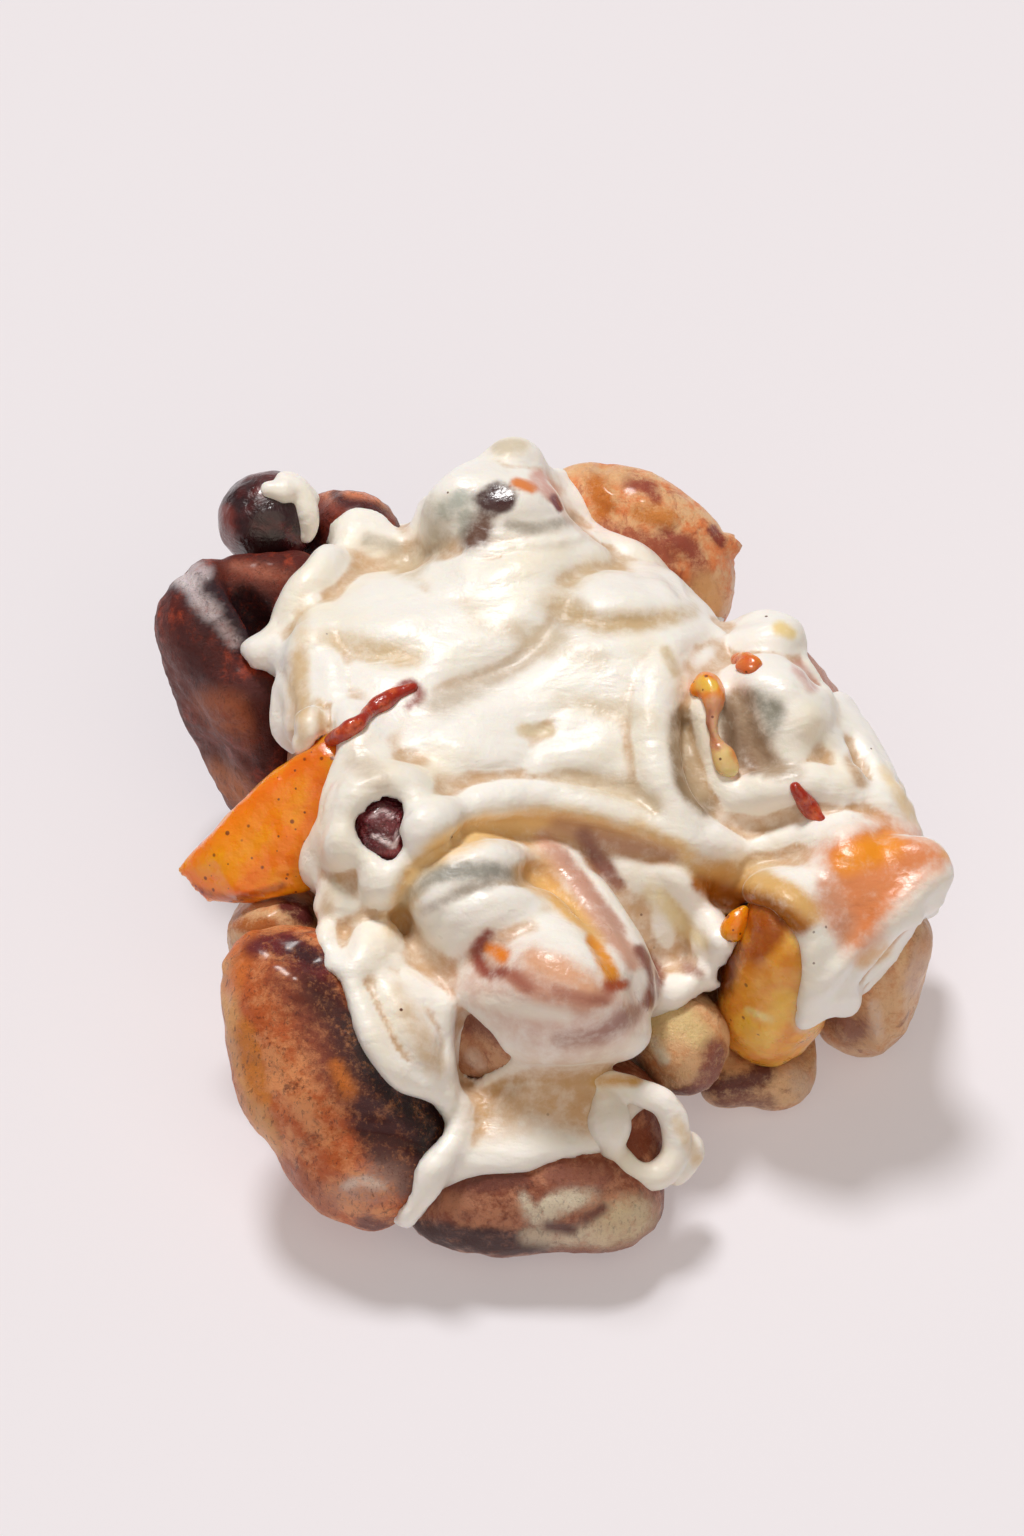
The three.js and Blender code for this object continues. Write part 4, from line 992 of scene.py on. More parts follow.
right_front_stains_and_painted_light = [
    # The left face darker: painted shade.
    ((166, 116, 96), [[832, 1010, 0.8, 3], [852, 1030, 0.8, 4]]),
    ((224, 182, 154), [[925, 940, 0.6, 2.4], [914, 984, 0.7, 3]]),
    # Painted highlight.
    ((238, 210, 190), [[874, 1006, 0.7, 1.6], [878, 1036, 0.6, 1.4]]),
    ((226, 158, 96), [[936, 914, 0.8, 1.8], [926, 948, 0.5, 1.6]]),
]
right_lower_stains_and_painted_shade = [
    ((108, 56, 46), [[694, 1078, 0.9, 4], [736, 1086, 0.8, 3], [764, 1072, 0.8, 3]]),
    ((226, 192, 162), [[790, 1058, 0.7, 3], [802, 1088, 0.7, 3]]),
    # Painted shade along the bottom.
    ((150, 98, 78), [[720, 1106, 0.7, 2], [770, 1102, 0.6, 2]]),
]
small_left_stains = [
    ((190, 106, 40), [[236, 924, 0.8, 2.2], [270, 928, 0.9, 2.4]]),
    ((236, 196, 150), [[236, 898, 0.8, 2], [262, 896, 0.8, 2], [286, 890, 0.6, 1.6]]),
    ((96, 30, 28), [[288, 904, 0.9, 2.2], [306, 914, 1, 2.6]]),
]
middle_front_stains = [
    ((232, 204, 146), [[650, 1030, 0.9, 3.5], [676, 1020, 0.9, 4], [700, 1036, 0.8, 3]]),
    ((246, 232, 206), [[654, 1042, 0.8, 1.2], [664, 1060, 0.8, 1.4]]),
    ((150, 84, 66), [[716, 1050, 0.9, 2.6], [708, 1084, 0.9, 3], [690, 1096, 0.7, 2]]),
    ((120, 64, 50), [[672, 1096, 0.8, 2], [700, 1098, 0.8, 2]]),
]
swirl_stains_and_painted_light = [
    # Darker at the top: painted shade under the icing's edge.
    ((150, 96, 80), [[468, 1022, 0.9, 2.2], [500, 1036, 0.8, 2.2]]),
    # Painted highlight.
    ((230, 202, 184), [[472, 1056, 0.7, 2], [480, 1066, 0.6, 1.6]]),
    ((176, 124, 84), [[468, 1084, 0.8, 1.4], [490, 1074, 0.7, 1.4]]),
]
right_back_stains = [
    ((214, 150, 130), [[804, 656, 1, 3], [820, 678, 1, 3], [834, 690, 0.8, 3]]),
    (PINK, [[800, 664, 0.9, 3], [820, 676, 1, 3], [814, 692, 0.9, 2]]),
]

slab_shape = [
    [
        [172, 572, 0.8, 3], [195, 562, 1.4, 3.4], [212, 590, 1.6, 3.0], [230, 620, 1.4, 2.6],
        [244, 642, 0.8, 2],
    ],
    [[228, 584, -1.6, 2.0], [246, 606, -3.0, 2.6], [262, 632, -3.0, 2.8]],
    [[205, 742, -0.5, 1.6], [245, 762, -0.7, 1.8]],
]
ear_shape = [
    [[728, 540, 1.6, 1.4], [733, 550, 1.8, 1.2]],
    [[604, 462, -0.9, 1.6], [600, 476, -0.7, 1.6]],
    [[590, 480, 0.7, 1.8], [612, 500, 0.7, 1.8]],
    [[640, 505, 0.6, 1.8], [668, 520, 0.7, 2]],
    [[672, 540, 0.5, 1.2], [684, 552, 0.5, 1.2]],
]
lower_left_shape = [
    [[228, 962, 0.8, 3], [250, 942, 0.8, 3]],
    [[285, 950, -0.8, 2.4], [312, 958, -1.2, 2.6]],
    [[300, 985, 0.8, 2.4], [330, 1002, 0.7, 2.4]],
    [[350, 1086, 0.6, 1.8], [392, 1108, 0.8, 2.2], [425, 1128, 0.8, 2.2]],
    [[340, 1130, -0.5, 1.6], [380, 1136, -0.6, 1.8], [420, 1150, -0.5, 1.6]],
]
right_front_shape = [
    [[868, 985, 0.8, 1.6], [876, 1018, 1.1, 1.5], [878, 1045, 0.8, 1.4]],
    [[905, 960, 0.7, 1.6], [898, 1000, 0.8, 1.6], [900, 1028, 0.6, 1.4]],
    [[850, 1015, -0.7, 1.8], [858, 1038, -0.5, 1.6]],
]

back_left_wet = [[[290, 480, 0.9, 5], [340, 490, 0.9, 5], [400, 505, 0.6, 4]]]
lower_left_wet = [
    [[262, 944, 0.9, 3], [300, 955, 1, 4], [330, 968, 1, 3]],
    [[340, 1010, 0.8, 3], [376, 1072, 0.9, 4], [432, 1126, 0.9, 4]],
]
middle_front_wet = [[[640, 1040, 0.9, 6], [700, 1060, 0.9, 6]]]

# Dough.
forms = [
    dough("dough_left", "left_slab", "crust", 1, slab_stains_and_painted_light, shape=slab_shape, fleck=0.5),
    dough("dough_back_left", "back_left_chunk", "crust", 2, back_left_stains, wet=back_left_wet),
    dough("dough_back_right", "back_right_ear", "orange_crust", 3, ear_stains_and_painted_shade, shape=ear_shape),
    dough("dough_back", "back_chunk", "orange_crust", 4),
    dough("dough_right_back", "right_back_chunk", "inner_dough", 5, right_back_stains),
    dough("dough_right_front", "right_front_chunk", "pale_dough", 6, right_front_stains_and_painted_light, lumps=0.3,
          shape=right_front_shape),
    dough("dough_right_lower", "right_lower_chunk", "pale_dough", 7, right_lower_stains_and_painted_shade, lumps=0.3),
    dough("dough_lower_left", "lower_left_chunk", "filled_dough", 8, lower_left_stains_and_painted_light,
          shape=lower_left_shape, wet=lower_left_wet),
    dough("dough_front", "front_chunk", "front_dough", 9, front_stains, fleck=0.5),
    dough("dough_left_small", "small_left_chunk", "pale_dough", 10, small_left_stains),
    dough("dough_middle_front", "middle_front_chunk", "pale_dough", 11, middle_front_stains, lumps=0.6,
          wet=middle_front_wet),
    dough("dough_swirl", "swirl_chunk", "inner_dough", 12, swirl_stains_and_painted_light, lumps=0.3),
    dough("dough_core", "heart_of_the_roll", "inner_dough", 13),
]

burst_stains_and_painted_glints = [
    ((120, 40, 50), [[366, 820, 0.9, 1.6], [384, 812, 0.8, 1.4], [396, 830, 0.9, 1.4]]),
    # Painted glints on the wet skin.
    ((226, 200, 204), [[374, 816, 0.9, 0.6], [382, 810, 0.8, 0.5], [392, 816, 0.8, 0.6]]),
    ((236, 214, 216), [
        [372, 836, 0.8, 0.5], [384, 840, 1, 0.7], [394, 846, 0.9, 0.6], [398, 832, 0.7, 0.5],
    ]),
]
left_peach_stains_and_painted_glow = [
    ((242, 118, 12), [[196, 860, 0.6, 2], [250, 808, 0.7, 2.2], [304, 762, 0.7, 2.2], [334, 742, 0.8, 2]]),
    ((238, 120, 12), [[322, 780, 0.6, 3], [312, 830, 0.7, 3], [298, 860, 0.5, 3]]),
    # Brighter yellow in the middle: the peach's colour with a painted glow of light through the slice.
    ((255, 166, 14), [[206, 868, 0.8, 2.6], [232, 850, 0.9, 4], [262, 838, 0.5, 4]]),
    ((255, 150, 6), [[230, 842, 0.6, 3], [262, 812, 0.6, 3], [290, 788, 0.5, 2.4]]),
    ((130, 40, 12), [
        [178, 880, 0.9, 1.5], [200, 892, 0.6, 1.3], [236, 898, 0.5, 1.2], [282, 886, 0.5, 1.2],
    ]),
]
lower_peach_stains_and_painted_light = [
    # Painted shade under the flap, on the peach's amber.
    ((136, 62, 4), [[724, 950, 1, 3.6], [722, 985, 0.9, 3]]),
    ((166, 84, 8), [[744, 914, 1, 4], [770, 926, 1, 4], [756, 948, 0.8, 3.6]]),
    ((255, 196, 70), [[742, 1024, 0.9, 2.6], [764, 1040, 0.8, 2.6], [784, 1000, 0.7, 2.6]]),
    # Painted highlight.
    ((255, 224, 150), [[748, 1010, 0.7, 1.0], [770, 1020, 0.6, 1.0]]),
    (CREAM, [[806, 930, 0.9, 2.4], [820, 975, 0.9, 2.8], [804, 1024, 0.6, 2.2]]),
]
left_berry_stains = [
    ((122, 52, 46), [[226, 512, 0.8, 2], [228, 545, 0.8, 2.4], [244, 566, 0.8, 2]]),
    ((176, 96, 80), [[300, 474, 0.8, 2.4], [318, 500, 0.8, 2.4]]),
    ((24, 10, 14), [[270, 548, 0.9, 3], [250, 556, 0.7, 3]]),
]

# Fruit between the chunks, and the small berry that the icing coats.
forms += [
    fruit("berry_left", "left_berry", berry_skin, 21, stains_and_light=left_berry_stains),
    fruit("berry_crown", "crown_berry", berry_skin, 22),
    fruit("berry_hollow", "burst_berry", burst_skin, 23, 1.1, burst_stains_and_painted_glints, fuller=1.3),
    fruit("berry_right", "right_berry", berry_skin, 24),
    fruit("berry_swirl", "swirl_berry", berry_skin, 25),
    fruit("peach_left", "left_peach_slice", peach, 26, 0.2, left_peach_stains_and_painted_glow, 8, faceted=True),
    fruit("peach_swirl", "swirl_peach", peach, 27),
    fruit("peach_right", "right_peach", peach, 28),
    fruit("peach_lower", "lower_peach", amber, 29, stains_and_light=lower_peach_stains_and_painted_light, fuller=0.9),
    fruit("berry_crown_small", "coated_crown_berry", icing, 31, lumps=0.2),
]

# Icing over them all.
# Painted shade, laid in the icing's hollows all over.
ICING_SHADE = (202, 160, 112)
# Colours that show through thin icing, and painted shade in its valleys, creases, hollows and under its
# folds.
icing_stains_and_painted_shade = [
    # Reddish brown low on the knob: pink dough through the icing, deepened as painted shade.
    ((196, 128, 104), [
        [516, 976, 0.8, 2.0], [544, 990, 0.8, 2.4], [580, 1000, 0.8, 2.2], [606, 996, 0.7, 1.8],
    ]),
    # Painted shade in the curtain's crease, on the left bulge and down the left fall.
    ((214, 188, 152), [[396, 990, 0.4, 2.6], [416, 1030, 0.6, 3.2], [436, 1066, 0.6, 3.0]]),
    ((206, 176, 138), [[330, 880, 0.4, 2.2], [326, 912, 0.5, 2.2]]),
    ((214, 186, 150), [[300, 660, 0.5, 2.0], [302, 710, 0.6, 2.0]]),
    ((216, 192, 152), [[640, 830, 0.5, 2.4], [700, 866, 0.7, 2.6], [760, 872, 0.7, 3]]),
    # Painted shade inside the arch, under its lip, warm yellow at the left and brown-pink at the right.
    ((242, 204, 142), 0.85, 2.2, [
        [388, 930], [396, 888], [414, 858], [446, 830], [500, 812], [560, 808], [620, 820], [680, 842],
        [694, 862], [640, 852], [590, 842], [540, 836], [490, 840], [446, 862], [418, 890], [404, 925],
    ]),
    ((196, 152, 126), [[560, 826, 0.6, 2.4], [610, 842, 0.8, 2.8], [670, 856, 0.7, 2]]),
    ((160, 158, 150), [
        [404, 902, 0.4, 1.6], [430, 878, 0.7, 2.2], [466, 870, 0.8, 2.4], [500, 872, 0.7, 2.4],
        [534, 880, 0.4, 2],
    ]),
    ((170, 160, 148), [[424, 912, 0.4, 1.4], [456, 894, 0.6, 1.6], [490, 884, 0.5, 1.6]]),
    ((232, 186, 118), [
        [524, 872, 0.6, 2.4], [552, 892, 0.9, 2.6], [582, 918, 0.9, 2.4], [600, 938, 0.7, 2],
    ]),
    ((226, 182, 130), [[536, 852, 0.6, 2.4], [560, 872, 0.6, 2.2]]),
    ((216, 172, 152), 0.5, 4.0, [
        [452, 968], [476, 940], [520, 936], [560, 950], [600, 976], [636, 990], [650, 1010], [636, 1040],
        [600, 1056], [550, 1058], [510, 1046], [470, 1012], [452, 990],
    ]),
    ((230, 176, 140), [[534, 960, 0.6, 2.6], [566, 972, 0.7, 3.0], [590, 985, 0.6, 2.6]]),
    ((212, 166, 146), [
        [544, 838, 0.7, 2], [576, 880, 0.8, 2.4], [606, 925, 0.8, 2.4], [634, 962, 0.8, 2.2],
    ]),
    # Painted shade on the far side of the pink ridge.
    ((150, 100, 88), [[584, 836, 0.7, 2.0], [600, 862, 0.9, 2.2], [618, 884, 0.7, 1.8]]),
    ((196, 150, 134), [[560, 850, 0.5, 1.2], [590, 890, 0.6, 1.4], [622, 930, 0.6, 1.4]]),
    ((142, 88, 80), [[640, 950, 0.8, 1.4], [656, 976, 0.9, 1.8], [650, 1002, 0.8, 1.6]]),
    ((150, 74, 60), [
        [488, 934, 0.8, 1.3], [477, 952, 0.9, 1.5], [486, 972, 0.8, 1.4], [504, 972, 0.8, 1.2],
    ]),
    ((236, 136, 44), [[490, 948, 1, 1.2], [503, 956, 1, 1.5]]),
    ((232, 152, 48), [[590, 940, 0.9, 1.1], [603, 958, 1, 1.6], [612, 976, 1, 1.8]]),
    ((178, 84, 50), [[610, 986, 0.9, 1.5], [624, 984, 0.8, 1.2]]),
    ((168, 96, 78), [[514, 976, 0.7, 1.5], [528, 988, 0.6, 1.4]]),
    # Painted shade low on the knob and under it.
    ((172, 104, 84), [[556, 990, 0.5, 1.3], [582, 998, 0.6, 1.4], [604, 1000, 0.6, 1.2]]),
    ((158, 112, 100), [[560, 1040, 0.4, 2.0], [600, 1034, 0.6, 2.2], [634, 1012, 0.7, 2.0]]),
    ((244, 232, 220), [[486, 1000, 0.7, 1.8], [524, 1010, 0.9, 2.0], [566, 1016, 0.7, 1.6]]),
    ((176, 138, 124), [[688, 968, 0.8, 1.6], [700, 974, 0.6, 1.4]]),
    ((240, 224, 178), [[652, 888, 0.5, 2.6], [676, 916, 0.7, 2.4], [702, 944, 0.5, 2.2]]),
    # Amber of the peach through the veil, deepened to painted shade under the flap.
    ((222, 178, 112), [
        [700, 872, 0.7, 2.4], [740, 880, 0.9, 2.8], [784, 892, 0.9, 3], [812, 914, 0.7, 2.8],
    ]),
    ((172, 104, 28), [[700, 884, 0.9, 2], [730, 898, 1, 2.8], [768, 910, 1, 3], [800, 926, 0.8, 2.4]]),
    ((230, 142, 86), 0.9, 4.0, [
        [822, 854], [838, 838], [876, 828], [914, 832], [944, 850], [946, 862], [914, 886], [890, 914],
        [868, 944], [852, 952], [840, 928], [830, 892],
    ]),
    ((246, 152, 32), [[846, 862, 1, 2.8], [872, 850, 1, 3.4], [892, 846, 0.8, 2.8]]),
    ((208, 152, 126), [[828, 890, 0.5, 3], [842, 925, 0.6, 3]]),
    ((242, 180, 100), [[950, 852, 0.8, 1.6], [956, 860, 0.6, 1.2]]),
    ((236, 196, 146), [[864, 962, 0.5, 2], [884, 950, 0.5, 2]]),
    ((206, 166, 118), 0.6, 4.5, [
        [480, 1092], [520, 1070], [590, 1066], [626, 1074], [618, 1102], [590, 1126], [540, 1130],
        [486, 1136], [470, 1120],
    ]),
    ((206, 164, 118), [[560, 1100, 0.4, 4], [596, 1120, 0.6, 4], [620, 1080, 0.5, 3]]),
    ((216, 168, 92), [[598, 1082, 0.6, 1.8], [626, 1078, 0.8, 1.6]]),
    ((152, 150, 138), [[756, 700, 0.6, 3], [772, 712, 0.8, 3.2], [764, 734, 0.5, 3]]),
    # Painted shade in the hollow right of the crater and on its wall.
    ((178, 156, 132), [
        [742, 698, 0.7, 2.6], [748, 738, 0.9, 3.6], [770, 766, 0.9, 3.0], [798, 772, 0.5, 2.2],
    ]),
    ((150, 122, 100), [[730, 716, 0.8, 1.8], [734, 745, 0.9, 2.0], [752, 768, 0.7, 1.8]]),
    # Painted shade in the crease beside the crown.
    ((200, 190, 170), [[425, 500, 0.4, 3], [440, 530, 0.6, 3.4], [420, 556, 0.5, 3]]),
    ((176, 182, 172), [[444, 512, 0.5, 2.4], [462, 498, 0.6, 2.4], [466, 530, 0.5, 2.2]]),
    # Painted shadow band under the crown's front.
    ((180, 172, 160), [[510, 526, 0.7, 1.6], [540, 528, 0.7, 1.6], [570, 520, 0.5, 1.6]]),
    ((112, 80, 66), 0.9, 1.4, [
        [470, 524], [480, 512], [494, 512], [492, 526], [486, 544], [468, 550], [464, 538],
    ]),
    ((70, 38, 38), 1.0, 1.0, [
        [474, 498], [484, 488], [496, 482], [508, 486], [516, 496], [512, 508], [498, 513], [482, 510],
    ]),
    ((230, 138, 74), [[516, 482, 0.9, 1.2], [532, 488, 0.9, 1.3]]),
    ((220, 168, 152), [[538, 476, 0.8, 2.0], [552, 494, 0.8, 1.8]]),
    ((120, 44, 50), [[554, 498, 1, 0.9], [560, 508, 1, 0.9]]),
    ((218, 206, 184), [[500, 448, 0.8, 2.2], [520, 446, 0.8, 2.2]]),
    ((150, 66, 56), [
        [396, 690, 0.7, 1.2], [410, 684, 0.8, 1.3], [420, 696, 0.8, 1.4], [408, 706, 0.7, 1.1],
    ]),
    # Painted shade behind the burst berry, in the plateau's valleys, creases and pit, under its lips and in
    # the crater.
    ((206, 192, 174), [[356, 758, 0.5, 3.6], [380, 782, 0.6, 3]]),
    ((206, 194, 178), 0.75, 2.0, [
        [424, 704], [446, 684], [484, 668], [520, 648], [546, 622], [566, 598], [584, 604], [562, 640],
        [530, 666], [490, 692], [446, 716],
    ]),
    ((206, 180, 140), [
        [562, 608, 0.6, 2.5], [600, 623, 0.68, 3.1], [648, 620, 0.68, 2.9], [692, 612, 0.52, 2.2],
    ]),
    ((216, 196, 164), [
        [545, 600, 0.42, 3.2], [566, 582, 0.49, 3.6], [596, 566, 0.42, 3.2], [628, 562, 0.28, 2.7],
    ]),
    ((222, 200, 164), [
        [318, 637, 0.52, 2], [350, 642, 0.6, 2.9], [385, 654, 0.68, 3.4], [412, 656, 0.52, 3.1],
    ]),
    ((208, 192, 164), [[398, 560, 0.56, 2.9], [412, 572, 0.48, 2.9]]),
    ((196, 188, 172), [[368, 540, 0.6, 2.0], [395, 546, 0.6, 1.8]]),
    ((228, 212, 182), [[522, 730, 0.8, 1.5], [548, 731, 0.8, 1.5]]),
    ((214, 196, 168), [[470, 610, 0.4, 3.0], [520, 632, 0.5, 3.4], [600, 660, 0.4, 3.0]]),
    ((226, 214, 192), [[560, 702, 0.48, 2.9], [620, 710, 0.56, 3.2], [652, 720, 0.48, 2.9]]),
    ((220, 206, 182), [[560, 776, 0.48, 3], [612, 788, 0.64, 3.3], [652, 804, 0.64, 3]]),
    ((218, 200, 170), [[665, 650, 0.7, 1.4], [676, 672, 0.8, 1.4], [668, 660, 0.6, 1.2]]),
    ((226, 198, 156), [
        [304, 600, 0.35, 1.8], [300, 640, 0.49, 2.2], [296, 690, 0.56, 2.9], [300, 740, 0.56, 2.9],
    ]),
    ((218, 186, 140), [[318, 700, 0.5, 1.0], [322, 730, 0.7, 1.4]]),
    ((150, 126, 98), [[680, 716, 0.8, 2.2], [682, 750, 1, 2.8], [690, 786, 1, 2.8], [706, 806, 0.8, 2.4]]),
    ((150, 126, 104), [[726, 700, 0.6, 1.6], [728, 730, 0.8, 1.8], [742, 760, 0.6, 1.6]]),
    ((206, 184, 152), [[684, 740, 0.5, 2.6], [700, 790, 0.5, 2.6]]),
    ((208, 160, 150), [[798, 666, 0.6, 1.8], [812, 686, 0.6, 1.8]]),
    ((240, 216, 158), [[780, 628, 0.8, 1.8], [792, 634, 0.7, 1.4]]),
    # Painted shade in the right fold.
    ((198, 160, 118), [[850, 760, 0.6, 1.8], [862, 782, 0.6, 1.8]]),
    ((236, 210, 166), [[884, 770, 0.5, 1.8], [908, 806, 0.7, 2], [926, 820, 0.7, 2]]),
]
spiced = [
    [[440, 850, 0.7, 3], [480, 822, 1, 2.6], [540, 812, 1, 2.6], [570, 820, 0.8, 2.6]],
    [[640, 840, 0.9, 2.6], [700, 866, 0.9, 2.6], [740, 872, 0.7, 2.6]],
    [[470, 1110, 0.5, 4], [560, 1130, 0.6, 4], [600, 1110, 0.5, 4]],
    [[600, 860, 0.9, 3], [640, 920, 0.7, 3], [640, 1010, 0.6, 3]],
    [[830, 880, 0.7, 3], [815, 960, 0.7, 3]],
]
moist = [
    [[440, 940, 0.7, 4], [540, 960, 1, 7], [640, 1000, 0.8, 5]],
    [[560, 880, 1, 5], [600, 930, 0.8, 4]],
    [[720, 895, 1, 4], [790, 920, 1, 4]],
    [[840, 860, 0.4, 6], [900, 870, 0.4, 6], [860, 930, 0.4, 5]],
    [[480, 1120, 0.9, 6], [600, 1110, 0.9, 6]],
    [[480, 500, 0.9, 5], [530, 505, 0.9, 5]],
]

poured = pour_icing(*mound_of(forms))
for form in forms:
    bpy.data.objects.remove(form)
spread(poured, "spice", spiced)
spread(poured, "wet", moist)
# Painted shade in every hollow of the icing, with the listed stains and painted shade laid over it.
painted(poured, icing_stains_and_painted_shade, (ICING_SHADE, 0.68, 40, 0.33))
settle(poured, "icing", icing)


# Scraps that lie on the icing, and its bead and drips.
def laid(line, root=None):
    """A line drawn in the view as [across, down, radius, lift], laid on the bite as the eater
    sees it: rows of place and radius in millimetres. With a root the whole line is as far
    from the eater as the bite is there."""
    start = Vector(EYE * MM)
    rows = []
    for u, v, radius, lift in rounded(line, closed=False, steps=3):
        ray, aim = [
            (Vector(AHEAD) * VIEW_SCALE * EYE_REACH + Vector((across - VIEW_MIDDLE[0], 0, 0))
             + Vector(ABOVE) * (VIEW_MIDDLE[1] - down)).normalized()
            for across, down in ((u, v), root or (u, v))
        ]
        hits = [one.ray_cast(start, aim) for one in settled]
        nearest = min((place - start).length for hit, place, _, _ in hits if hit)
        rows.append([*(start + ray * nearest) / MM - ray * lift, radius])
    return rows


def round_ended(line):
    """The same line with its ends drawn out and narrowed, so that they come out round."""
    caps = []
    for end, inner in ((line[0], line[1]), (line[-1], line[-2])):
        out = end[:3] - inner[:3]
        out /= max(np.linalg.norm(out), 1e-6)
        caps.append([[*(end[:3] + out * end[3] * far), end[3] * wide] for far, wide in ROUND_END])
    return np.vstack([caps[0][::-1], line, caps[1]])


def strand(node, name, finish, seed, lines, fine=STRAND_GRAIN, lumps=0.15, stains_and_light=()):
    """A soft strand, or several that run together: each line has rows of place and radius."""
    curve = bpy.data.curves.new(name, "CURVE")
    curve.dimensions = "3D"
    curve.bevel_depth = MM
    curve.bevel_resolution = 3
    curve.use_fill_caps = True
    for line in lines:
        line = round_ended(rounded(line, closed=False, steps=3))
        spline = curve.splines.new("POLY")
        spline.points.add(len(line) - 1)
        for point, (x, y, z, radius) in zip(spline.points, line):
            point.co = (x * MM, y * MM, z * MM, 1)
            point.radius = radius
    only(placed(name, curve))
    bpy.ops.object.convert(target="MESH")
    piece = bpy.context.view_layer.objects.active
    piece.data.name = name
    grain(piece, fine)
    smooth(piece, 9)
    crumple(piece, lumps, 2.2, seed)
    painted(piece, stains_and_light)
    settle(piece, node, finish)


bit_stains = [((232, 116, 60), [[736, 662, 1, 2.4], [746, 664, 1, 2.6], [756, 667, 1, 2.4]])]
strip_stains = [
    ((255, 196, 84), [[702, 684, 1, 1.8], [712, 686, 1, 1.4]]),
    ((226, 166, 132), [[714, 704, 1, 2.2], [712, 724, 1, 3.0], [716, 745, 1, 3.0]]),
    ((246, 206, 150), [[722, 758, 1, 2.6], [730, 770, 1, 2.6]]),
    ((160, 92, 72), [[710, 712, 0.6, 0.8], [708, 730, 0.7, 0.8], [718, 748, 0.5, 0.8]]),
]
drip_stains = [
    ((216, 168, 92), [[600, 1082, 0.6, 1.6], [636, 1080, 0.8, 1.6]]),
    ((226, 200, 158), [[676, 1120, 0.5, 1.6], [698, 1160, 0.6, 2]]),
]

flap_root = [706, 938]
flap_bit = [[724, 940, 0.9, 0.6], [730, 932, 1.5, 0.8], [738, 920, 1.5, 1.0], [744, 910, 0.8, 1.0]]
flap_bit_side = [[734, 932, 1.4, 0.8], [745, 926, 0.9, 0.8]]
back_bit = [[737, 661, 0.9, 0.1], [746, 660, 1.1, 0.2], [755, 664, 1.0, 0.1]]
back_bit_side = [[742, 666, 0.9, 0.1], [752, 669, 0.9, 0.1]]
crater_strip = [
    [699, 689, 1.3, 0.2], [708, 685, 1.9, 0.5], [713, 698, 1.7, 0.5], [713, 712, 1.0, 0.3],
    [713, 726, 0.8, 0.3], [715, 740, 0.9, 0.3], [722, 756, 1.5, 0.4], [728, 767, 1.6, 0.3],
]
left_twist = [
    [331, 740, 0.9, 0.4], [345, 731, 1.2, 0.5], [358, 724, 1.2, 0.5], [366, 715, 0.8, 0.5],
    [376, 706, 1.1, 0.5], [388, 699, 1.2, 0.4], [400, 692, 0.8, 0.2], [414, 687, 0.7, 0],
]
right_scrap = [[796, 788, 0.8, 0.3], [801, 797, 1.1, 0.4], [811, 810, 1.2, 0.3], [820, 818, 0.8, 0]]
bead = [
    [284, 482, 1.6, 0], [294, 488, 2.0, 0], [303, 500, 1.9, 0.1], [307, 514, 1.7, 0.2],
    [308, 526, 1.5, 0.2], [306, 535, 1.2, 0.1],
]
bead_left = [[270, 490, 1.4, 0], [284, 492, 1.9, 0]]
bead_right = [[298, 492, 1.9, 0], [306, 499, 1.9, 0]]

# The drips hang free, so these rows are places in millimetres, each with a radius.
drip_ring = [
    [5.5, -38.6, 21.6, 1.3], [8.2, -38.6, 21.4, 1.6], [11.7, -39.6, 20.6, 1.8], [14.4, -40.3, 19.3, 1.9],
    [15.8, -42.1, 16.8, 1.9], [15.6, -44.3, 13.8, 1.9], [13.4, -46.1, 12.1, 2.0], [10.5, -46.4, 13.2, 1.8],
    [8.4, -45, 15.2, 1.6],
]
drip_web = [
    [7.0, -41.0, 20.4, 2.0], [7.3, -42.0, 19.4, 2.8], [7.5, -43.4, 17.9, 2.8], [7.6, -44.4, 16.6, 2.0],
]
drip_tail = [
    [15.8, -41.9, 14.6, 1.6], [17.5, -42.2, 13, 1.9], [17.6, -42.6, 11.4, 2.0], [16, -44.3, 10.2, 1.8],
]

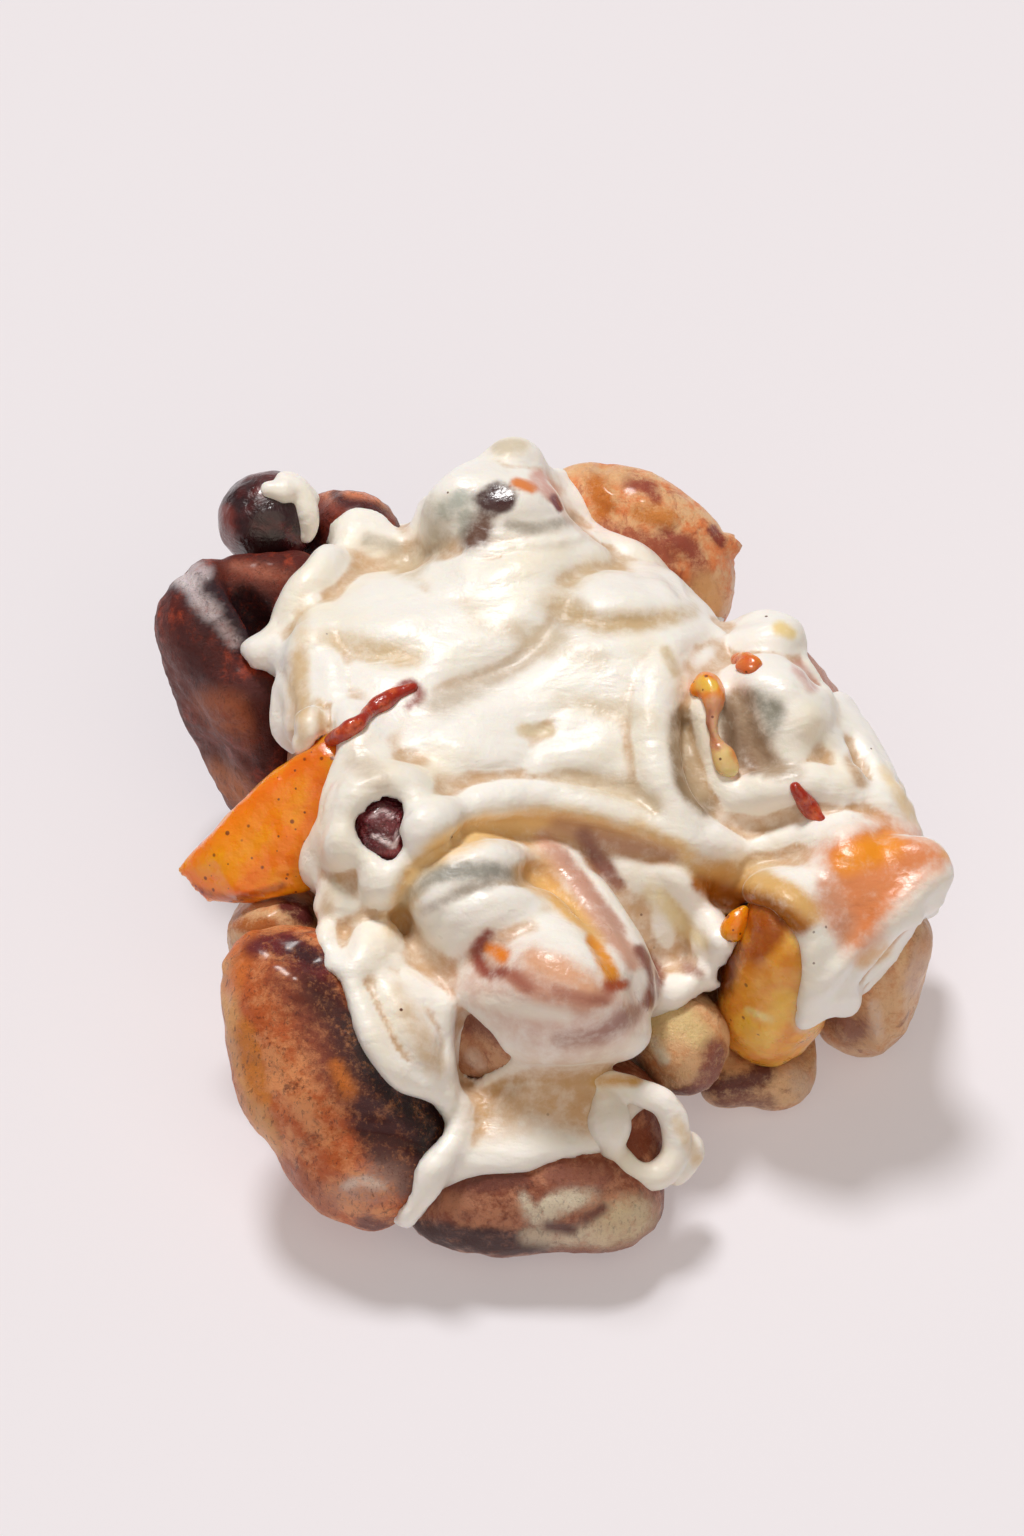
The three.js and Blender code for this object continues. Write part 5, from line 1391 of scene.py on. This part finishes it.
strand("peach_bit_flap", "peach_bit_on_the_flap", peach, 32,
       [laid(flap_bit, flap_root), laid(flap_bit_side, flap_root)])
strand("peach_bit_back", "peach_bit_at_the_back", peach, 33,
       [laid(back_bit), laid(back_bit_side)], lumps=0.35, stains_and_light=bit_stains)
strand("peach_strip", "peach_strip_in_the_crater", peach, 34,
       [laid(crater_strip)], lumps=0.4, stains_and_light=strip_stains)
strand("peel_left", "left_peel", red_peel, 35, [laid(left_twist)], PEEL_GRAIN, lumps=0.3)
strand("peel_right", "right_peel", red_peel, 36, [laid(right_scrap)], PEEL_GRAIN, lumps=0.25)
strand("icing_bead", "icing_bead_on_the_berry", icing, 37,
       [laid(bead), laid(bead_left), laid(bead_right)])
strand("icing_drips", "icing_drips_in_front", icing, 38,
       [drip_ring, drip_web, drip_tail], fine=0.35, stains_and_light=drip_stains)

# Floor, lights and camera.
FLOOR_SIZE = 4
FLOOR_LOOK = {
    "Base Color": (0.562, 0.551, 0.592, 1),
    "Emission Color": (1.0, 0.925, 0.94, 1),
    "Emission Strength": 0.277,
    "Roughness": 0.9,
    "Specular IOR Level": 0.1,
}
bpy.ops.mesh.primitive_plane_add(size=FLOOR_SIZE)
floor = bpy.context.object
floor.name = "floor"
plain = bpy.data.materials.new("pale_table")
plain.use_nodes = True
for socket, value in FLOOR_LOOK.items():
    plain.node_tree.nodes["Principled BSDF"].inputs[socket].default_value = value
floor.data.materials.append(plain)


def sun(name, strength, spread, colour, height, side):
    """A soft sun at a height above the horizon, so many degrees round from straight ahead."""
    light = bpy.data.lights.new(name, "SUN")
    light.energy = strength
    light.angle = math.radians(spread)
    light.color = colour
    a, e = math.radians(side), math.radians(height)
    source = Vector((math.sin(a) * math.cos(e), math.cos(a) * math.cos(e), math.sin(e)))
    placed(name, light).rotation_euler = source.to_track_quat("Z", "Y").to_euler()


sun("window", 2.35, 13, (1.0, 0.988, 0.975), 64, -20)
sun("bounce", 0.85, 70, (1.0, 0.86, 0.7), 50, 172)

world = bpy.data.worlds.new("room")
world.use_nodes = True
world.node_tree.nodes["Background"].inputs["Color"].default_value = (1.0, 0.9, 0.8, 1)
world.node_tree.nodes["Background"].inputs["Strength"].default_value = 0.15
bpy.context.scene.world = world

camera_data = bpy.data.cameras.new("eater")
camera_data.sensor_fit = "VERTICAL"
camera_data.sensor_height = SENSOR
camera_data.lens = LENS
camera = placed("eater", camera_data)
camera.location = Vector(EYE * MM)
camera.rotation_euler = Matrix((Vector((1, 0, 0)), Vector(ABOVE), Vector(-AHEAD))).transposed().to_euler()
bpy.context.scene.camera = camera
bpy.context.scene.view_settings.view_transform = "Standard"
